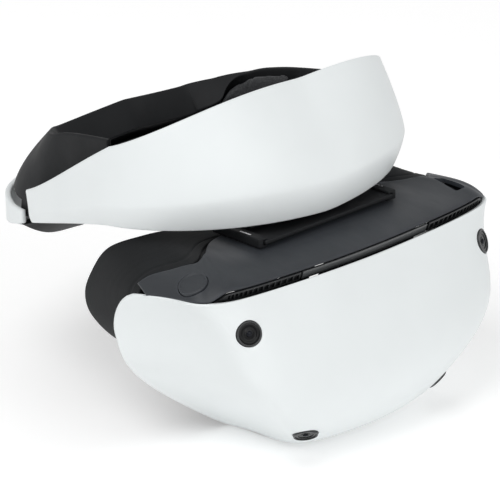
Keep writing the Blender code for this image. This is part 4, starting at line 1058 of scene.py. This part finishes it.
# rear unit
def rear_unit():
    w, v = mesh_grid(2 * spread(120, 330, 1.0) - 1, spread(44, 60, 1.0))
    surface = rear_band(w, v)
    normal = normals_of(surface, HEAD_INSIDE)
    near = REAR_WALL + 2 * GAP
    deep = rear_depth(1 - np.abs(w))[..., None]
    drop = np.minimum(edge_drop(surface, 1.0), deep * 0.45)
    inner = surface - normal * (near + deep - drop) + undercut(w, v)
    housing = sheet("rear_housing_skin", surface - normal * (near + drop), inner)
    half, inside, outside = RACK_POCKET
    lowest, highest = RACK_POCKET_Z
    angle, radius = mesh_grid(np.radians(np.linspace(-half, half, 60)), [RACK_R + inside, RACK_R + outside])
    flat = (radius * np.sin(angle), RACK_CENTRE_Y + radius * np.cos(angle))
    low = np.stack([*flat, np.full_like(angle, DIAL_Z + lowest)], -1)
    start, bore = PINION_WELL
    boolean(housing, [sheet("rack_pocket", low, low + (0, 0, highest - lowest)),
                      disc("pinion_well", bore, 30.0, (0, start, DIAL_Z), (0, 1, 0)),
                      disc("jack_hole", JACK_R + GAP, 38.0, (*JACK[:2], -50), (0, 0, 1))])
    dress(housing, "dark_plastic_painted_shade", "rear_unit", "rear_housing")

    w, v = mesh_grid(REAR_COVER_REACH * (2 * spread(80, 180, 1.3) - 1), spread(36, 55, 1.3))
    cover = sheet("rear_cover_skin", *wall(rear_cover_band(w, v), 0, REAR_WALL, 1.3, HEAD_INSIDE))
    boolean(cover, [disc("sleeve_hole", 5.2, 30.0, (0, 190, DIAL_Z), (0, 1, 0))])
    dress(cover, "white_shell", "rear_unit", "rear_cover")


def adjust_dial():
    """A hand wheel with a grip of rounded ridges, a dished face and the release button in its middle."""
    def ridged(angle, radius):
        wave = 0.5 + 0.5 * cos(DIAL_RIDGES * angle)
        return radius - 0.9 * (1 - wave ** 0.6) if radius > DIAL_R - 2.2 else radius
    outline = [(3.6, 0), (DIAL_R - 0.8, 0), (DIAL_R + 0.1, 0.9), (DIAL_R + 0.1, 6.6), (15.4, 8.7), (13.2, 8.7),
               (12.4, 8.2), (9.0, 8.2), (8.4, 8.8), (7.6, 8.8), (7.6, 1.6), (3.6, 1.6)]
    dial = turned("adjust_dial_wheel", outline, (0, DIAL_BACK, DIAL_Z), (0, 1, 0), 320, 0.35, ridged)
    dress(dial, "white_shell", "dial", "adjust_dial")
    button = [(0, 0), (2.8, 0), (2.8, 17.4), (7.1, 17.4), (7.1, 21.9), (6.4, 22.2), (5.4, 21.8), (0, 21.5)]
    key = turned("release_button_key", button, (0, DIAL_BACK - 13, DIAL_Z), (0, 1, 0))
    dress(key, "grey_plastic", "release_key", "release_button")


# slide, optics and small parts
def slide_rails():
    for name, side in (("right", -1), ("left", 1)):
        rail = block("slide_channel_" + name, (side * 43.6, 34.0, RAIL_Z), (5.2, 32.0, 4.8), 0.7)
        boolean(rail, [block("groove", (side * 33.0, 34.0, RAIL_Z), (21.6, 42.0, 2.8), 0.3)])
        dress(rail, "dark_plastic_painted_shade", "scope", "slide_rail_" + name)
        wear = block("slide_strip_" + name, (side * 44.6, 29.0, RAIL_Z + 2.42), (1.0, 7.0, 0.2), 0.08)
        dress(wear, "steel", "scope")


def scope_bracket():
    plate = block("bracket_plate", (0, 31.0, RAIL_Z), (86.0, 28.0, 2.0), 0.6)
    boolean(plate, [block("shelf", (0, 36.0, 24.2), (78.0, 9.0, 4.4), 0.8),
                    block("riser", (0, 33.0, 28.0), (54.0, 6.0, 15.6), 1.0)], "UNION")
    dress(plate, "dark_plastic_painted_shade", "headband", "scope_bracket")


def ipd_dial():
    """The wheel in the cover's slot, with a finely ridged rim, and the dark well that it turns in."""
    def ridged(angle, radius):
        wave = 0.5 - 0.5 * cos(IPD_DIAL_RIDGES * angle)
        return radius - 0.45 * wave if radius > IPD_DIAL_R - 1.4 else radius
    w, r, middle = IPD_DIAL_WIDTH, IPD_DIAL_R, IPD_DIAL_X
    rim = [(0, 0), (r - 1.2, 0), (r, 1.0), (r, w - 1.0), (r - 1.2, w), (0, w)]
    wheel = turned("ipd_dial_wheel", rim, (middle - w / 2, SCREW_Y, SCREW_Z), (1, 0, 0), 360, 0.3, ridged)
    dress(wheel, "dark_plastic_painted_shade", "ipd_drive", "ipd_dial")
    angle, x = mesh_grid(np.radians(np.linspace(-120, 120, 60)), np.linspace(middle - 5.5, middle + 5.5, 4))
    curve = np.stack([0 * angle, np.sin(angle), -np.cos(angle)], -1)
    axis = np.stack([x, 0 * x + SCREW_Y, 0 * x + SCREW_Z], -1)
    dress(sheet("ipd_dial_tray", axis + curve * (r + 1.4), axis + curve * (r + 2.4)), "dark_plastic_painted_shade", "scope")
    for name, x in (("inner", middle - 6.3), ("outer", middle + 5.5)):
        end = disc("ipd_dial_wall_" + name, r + 2.4, 0.8, (x, SCREW_Y, SCREW_Z), (1, 0, 0))
        boolean(end, [disc("screw_bore", SCREW_R + GAP, 4, (x - 2, SCREW_Y, SCREW_Z), (1, 0, 0), 32),
                      block("above", (x, SCREW_Y, SCREW_Z + 18), (6, 30, 20), 0.1)])
        dress(end, "dark_plastic_painted_shade", "scope")


def optics():
    lens = [(0, 0)] + [(LENS_R * s, 2.2 * s ** 2) for s in np.linspace(0, 1, 14)[1:]]
    lens += [(LENS_R * cos(a), 4.0 + 4.6 * sin(a)) for a in np.linspace(0, pi / 2, 16)]
    ring = [(LENS_R + 0.6, 0), (BARREL_R, 0), (BARREL_R, 1.6), (LENS_R + 0.6, 1.6)]
    for eye, x in EYES:
        eyepiece = turned("eyepiece_" + eye, lens, (x, BARREL_Y + 23.4, EYE_Z), (0, 1, 0), 96, 0.05)
        dress(eyepiece, "lens", "eye_" + eye, "lens_" + eye)
        infrared = turned("infrared_ring_" + eye, ring, (x, BARREL_Y + BARREL_LENGTH + 0.3, EYE_Z), (0, 1, 0))
        dress(infrared, "gloss_black", "eye_" + eye, "ir_ring_" + eye)


def face_frame():
    """The plate inside the shield, with rounded edges round the lens openings and the nose notch."""
    outline = shield_loop(SHIELD_FRONT, SHIELD_STEPS)[:-1]
    x = np.clip(outline[:, 0] * FACE_FRAME_SCALE, -FACE_FRAME_HALF, FACE_FRAME_HALF)
    z = EYE_Z + (outline[:, 2] - EYE_Z) * FACE_FRAME_SCALE
    bm = bmesh.new()
    front, back = ([bm.verts.new(place((a, y, b))) for a, b in zip(x, z)] for y in FACE_FRAME_Y)
    bm.faces.new(front)
    bm.faces.new(back[::-1])
    for k in range(len(front)):
        bm.faces.new((front[k - 1], back[k - 1], back[k], front[k]))
    plate = new_object("face_frame_plate", bm)
    y = FACE_FRAME_Y[0] - 5
    radius, height = NOSE_NOTCH
    tools = [disc("nose_hole", radius, 12, (0, y, height), (0, 1, 0))]
    for _, x in EYES:
        hole = disc("lens_hole", BARREL_R + 0.6, 12, (x, y, EYE_Z), (0, 1, 0), 96)
        centre = Matrix.Translation(place((x, y, EYE_Z)))
        hole.data.transform(centre @ Matrix.Diagonal((1.17, 1, 1, 1)) @ centre.inverted())
        tools.append(hole)
    boolean(plate, tools)
    soften(plate, 0.4)
    dress(plate, "dark_plastic_painted_shade", "scope", "face_frame")


def lens_barrels():
    """Each eye's tube with the nut that rides on the screw above and the foot that rides on the rod below."""
    seat, bore, end = LENS_R + GAP, BARREL_BORE, BARREL_LENGTH
    outline = [(bore, 0), (BARREL_R, 0), (BARREL_R, end), (seat, end), (seat, end - 7), (bore, end - 7)]
    low, high = EYE_Z + BARREL_R - 2.5, SCREW_Z + 3.6
    for eye, x in EYES:
        tube = turned("lens_tube_" + eye, outline, (x, BARREL_Y, EYE_Z), (0, 1, 0))
        boolean(tube, [block("nut", (x - 4 * np.sign(x), SCREW_Y, (low + high) / 2), (12, 8, high - low)),
                       block("foot", (x, GUIDE_Y, EYE_Z - BARREL_R - 2.6), (12, 8, 8.4))], "UNION")
        boolean(tube, [disc("screw_bore", SCREW_R + GAP, 60, (x - 30, SCREW_Y, SCREW_Z), (1, 0, 0), 32),
                       disc("rod_bore", GUIDE_R + GAP, 60, (x - 30, GUIDE_Y, GUIDE_Z), (1, 0, 0), 32),
                       disc("inside", bore, 40, (x, 2, EYE_Z), (0, 1, 0), 96)])
        dress(tube, "dark_plastic_painted_shade", "eye_" + eye, "lens_barrel_" + eye)


def small_parts():
    """Buttons under the scope, sensor, vibration motor, cable gland and audio jack."""
    r = BOTTOM_BUTTON_R
    cap = [(0, 0), (r, 0), (r, 3.1), (r - 0.4, 3.4), (r - 0.9, 3.3), (0, 3.0)]
    for name, (body, x) in BOTTOM_BUTTONS.items():
        key = turned(name + "_cap", cap, (x, BOTTOM_BUTTON_Y, -77.4), (0, 0, -1), 64, 0.2)
        dress(key, "grey_plastic", body, name)
    sensor = block("proximity_sensor_window", (0, FACE_FRAME_Y[1] + GAP + 1.1, 2), (9, 2.2, 5), 0.7)
    dress(sensor, "gloss_black", "scope", "proximity_sensor")
    r, long = MOTOR_R, MOTOR_LENGTH
    can = [(0, 0), (1.4, 0), (1.4, 0.5), (r, 0.5), (r, long - 0.4), (1.6, long - 0.4), (1.6, long), (0, long)]
    dress(turned("vibration_motor_can", can, MOTOR, (1, 0, 0), 64), "steel", "headband", "vibration_motor")
    sleeve = [(1.7, 0), (3.6, 0), (3.6, 4)]
    for h in np.arange(4.6, 14.0, 2.2):
        r = 3.6 - (h - 4) / 11
        sleeve += [(r - 0.6, h), (r - 0.6, h + 0.7), (r, h + 0.8), (r - 0.1, h + 2.0)]
    sleeve += [(2.5, 15), (1.7, 15)]
    x, y, z = GLAND
    gland = turned("cable_gland_sleeve", sleeve, (x, y - 0.4, z + 1.5), (0, 0.25, -1), 64, 0.15)
    dress(gland, "soft_rubber", "headband", "cable_gland")
    tube = [(1.8, 0), (JACK_R, 0), (JACK_R, 9.0), (1.8, 9.0)]
    dress(turned("audio_jack_sleeve", tube, JACK, (0, 0, 1), 64), "steel", "rear_unit", "audio_jack")


def carried_over():
    """The inner CAD parts stay as they are and take their slot's finish; those in the dark plastic slot take a
    darker copy of it, whose extra darkness is painted shade.
    """
    slots = {part["node"]: part["material_slot"] for part in frame["record"]["subparts"]}
    for name, node in frame["nodes"].items():
        # dark plastic parts get the darker copy, whose extra darkness is painted shade
        look = "dark_plastic_painted_shade" if slots[name] == "dark_plastic" else slots[name]
        node.data.materials.clear()
        node.data.materials.append(FINISHES[look].material)


# studio
def camera():
    a, e, r = (radians(value) for value in (CAMERA_AZIMUTH, CAMERA_ELEVATION, CAMERA_ROLL))
    back = Vector((-sin(a) * cos(e), -cos(a) * cos(e), sin(e)))
    level = Vector((cos(a), -sin(a), 0))
    rise = back.cross(level)
    right = level * cos(r) + rise * sin(r)
    up = rise * cos(r) - level * sin(r)
    spot = back * CAMERA_DISTANCE + right * CAMERA_ASIDE[0] + up * CAMERA_ASIDE[1]
    data = bpy.data.cameras.new("camera")
    data.lens = CAMERA_LENS
    data.sensor_width = 36.0
    data.clip_start = 0.05
    data.clip_end = 50.0
    made = add("camera", data)
    made.matrix_world = Matrix.Translation(place(spot)) @ Matrix((right, up, back)).transposed().to_4x4()
    bpy.context.scene.camera = made


def floor():
    """A wide plain floor."""
    across, along = 14.0, 12.0
    bm = bmesh.new()
    bm.faces.new([bm.verts.new((x * across, y * along, 0)) for x, y in ((-1, -1), (1, -1), (1, 1), (-1, 1))])
    made = new_object("floor", bm)
    paint = Finish("floor")
    paint.set(Base_Color=paint.mix(paint.ramp(paint.noise(900.0)), (0.93, 0.93, 0.93), (0.95, 0.95, 0.95)),
              Roughness=paint.ramp(paint.noise(200.0), 0.8, 0.9), Emission_Color=(1.0, 1.0, 1.0),
              Emission_Strength=0.22)
    made.data.materials.append(paint.material)


def lights():
    for name, spot, aim, size, power in LAMPS:
        data = bpy.data.lights.new(name, "AREA")
        data.shape = "RECTANGLE"
        data.size, data.size_y = size
        data.energy = power
        made = add(name, data)
        made.location = spot
        made.rotation_euler = (Vector(aim) - Vector(spot)).to_track_quat("-Z", "Y").to_euler()
    world = bpy.data.worlds.new("studio")
    world.use_nodes = True
    background = world.node_tree.nodes["Background"].inputs
    background["Color"].default_value = (1.0, 1.0, 1.0, 1.0)
    background["Strength"].default_value = SKY
    bpy.context.scene.world = world
    bpy.context.scene.view_settings.view_transform = "Standard"


def build():
    for make in (carried_over, front_shell, top_cover, vent_strip, scope_button, tracking_cameras, bottom_cover,
                 light_shield, shield_collar, shield_flange, face_frame, headband, forehead_pad, rear_unit, rear_pad,
                 adjust_dial, slide_rails, scope_bracket, ipd_dial, optics, lens_barrels, small_parts, camera, floor,
                 lights):
        make()


build()
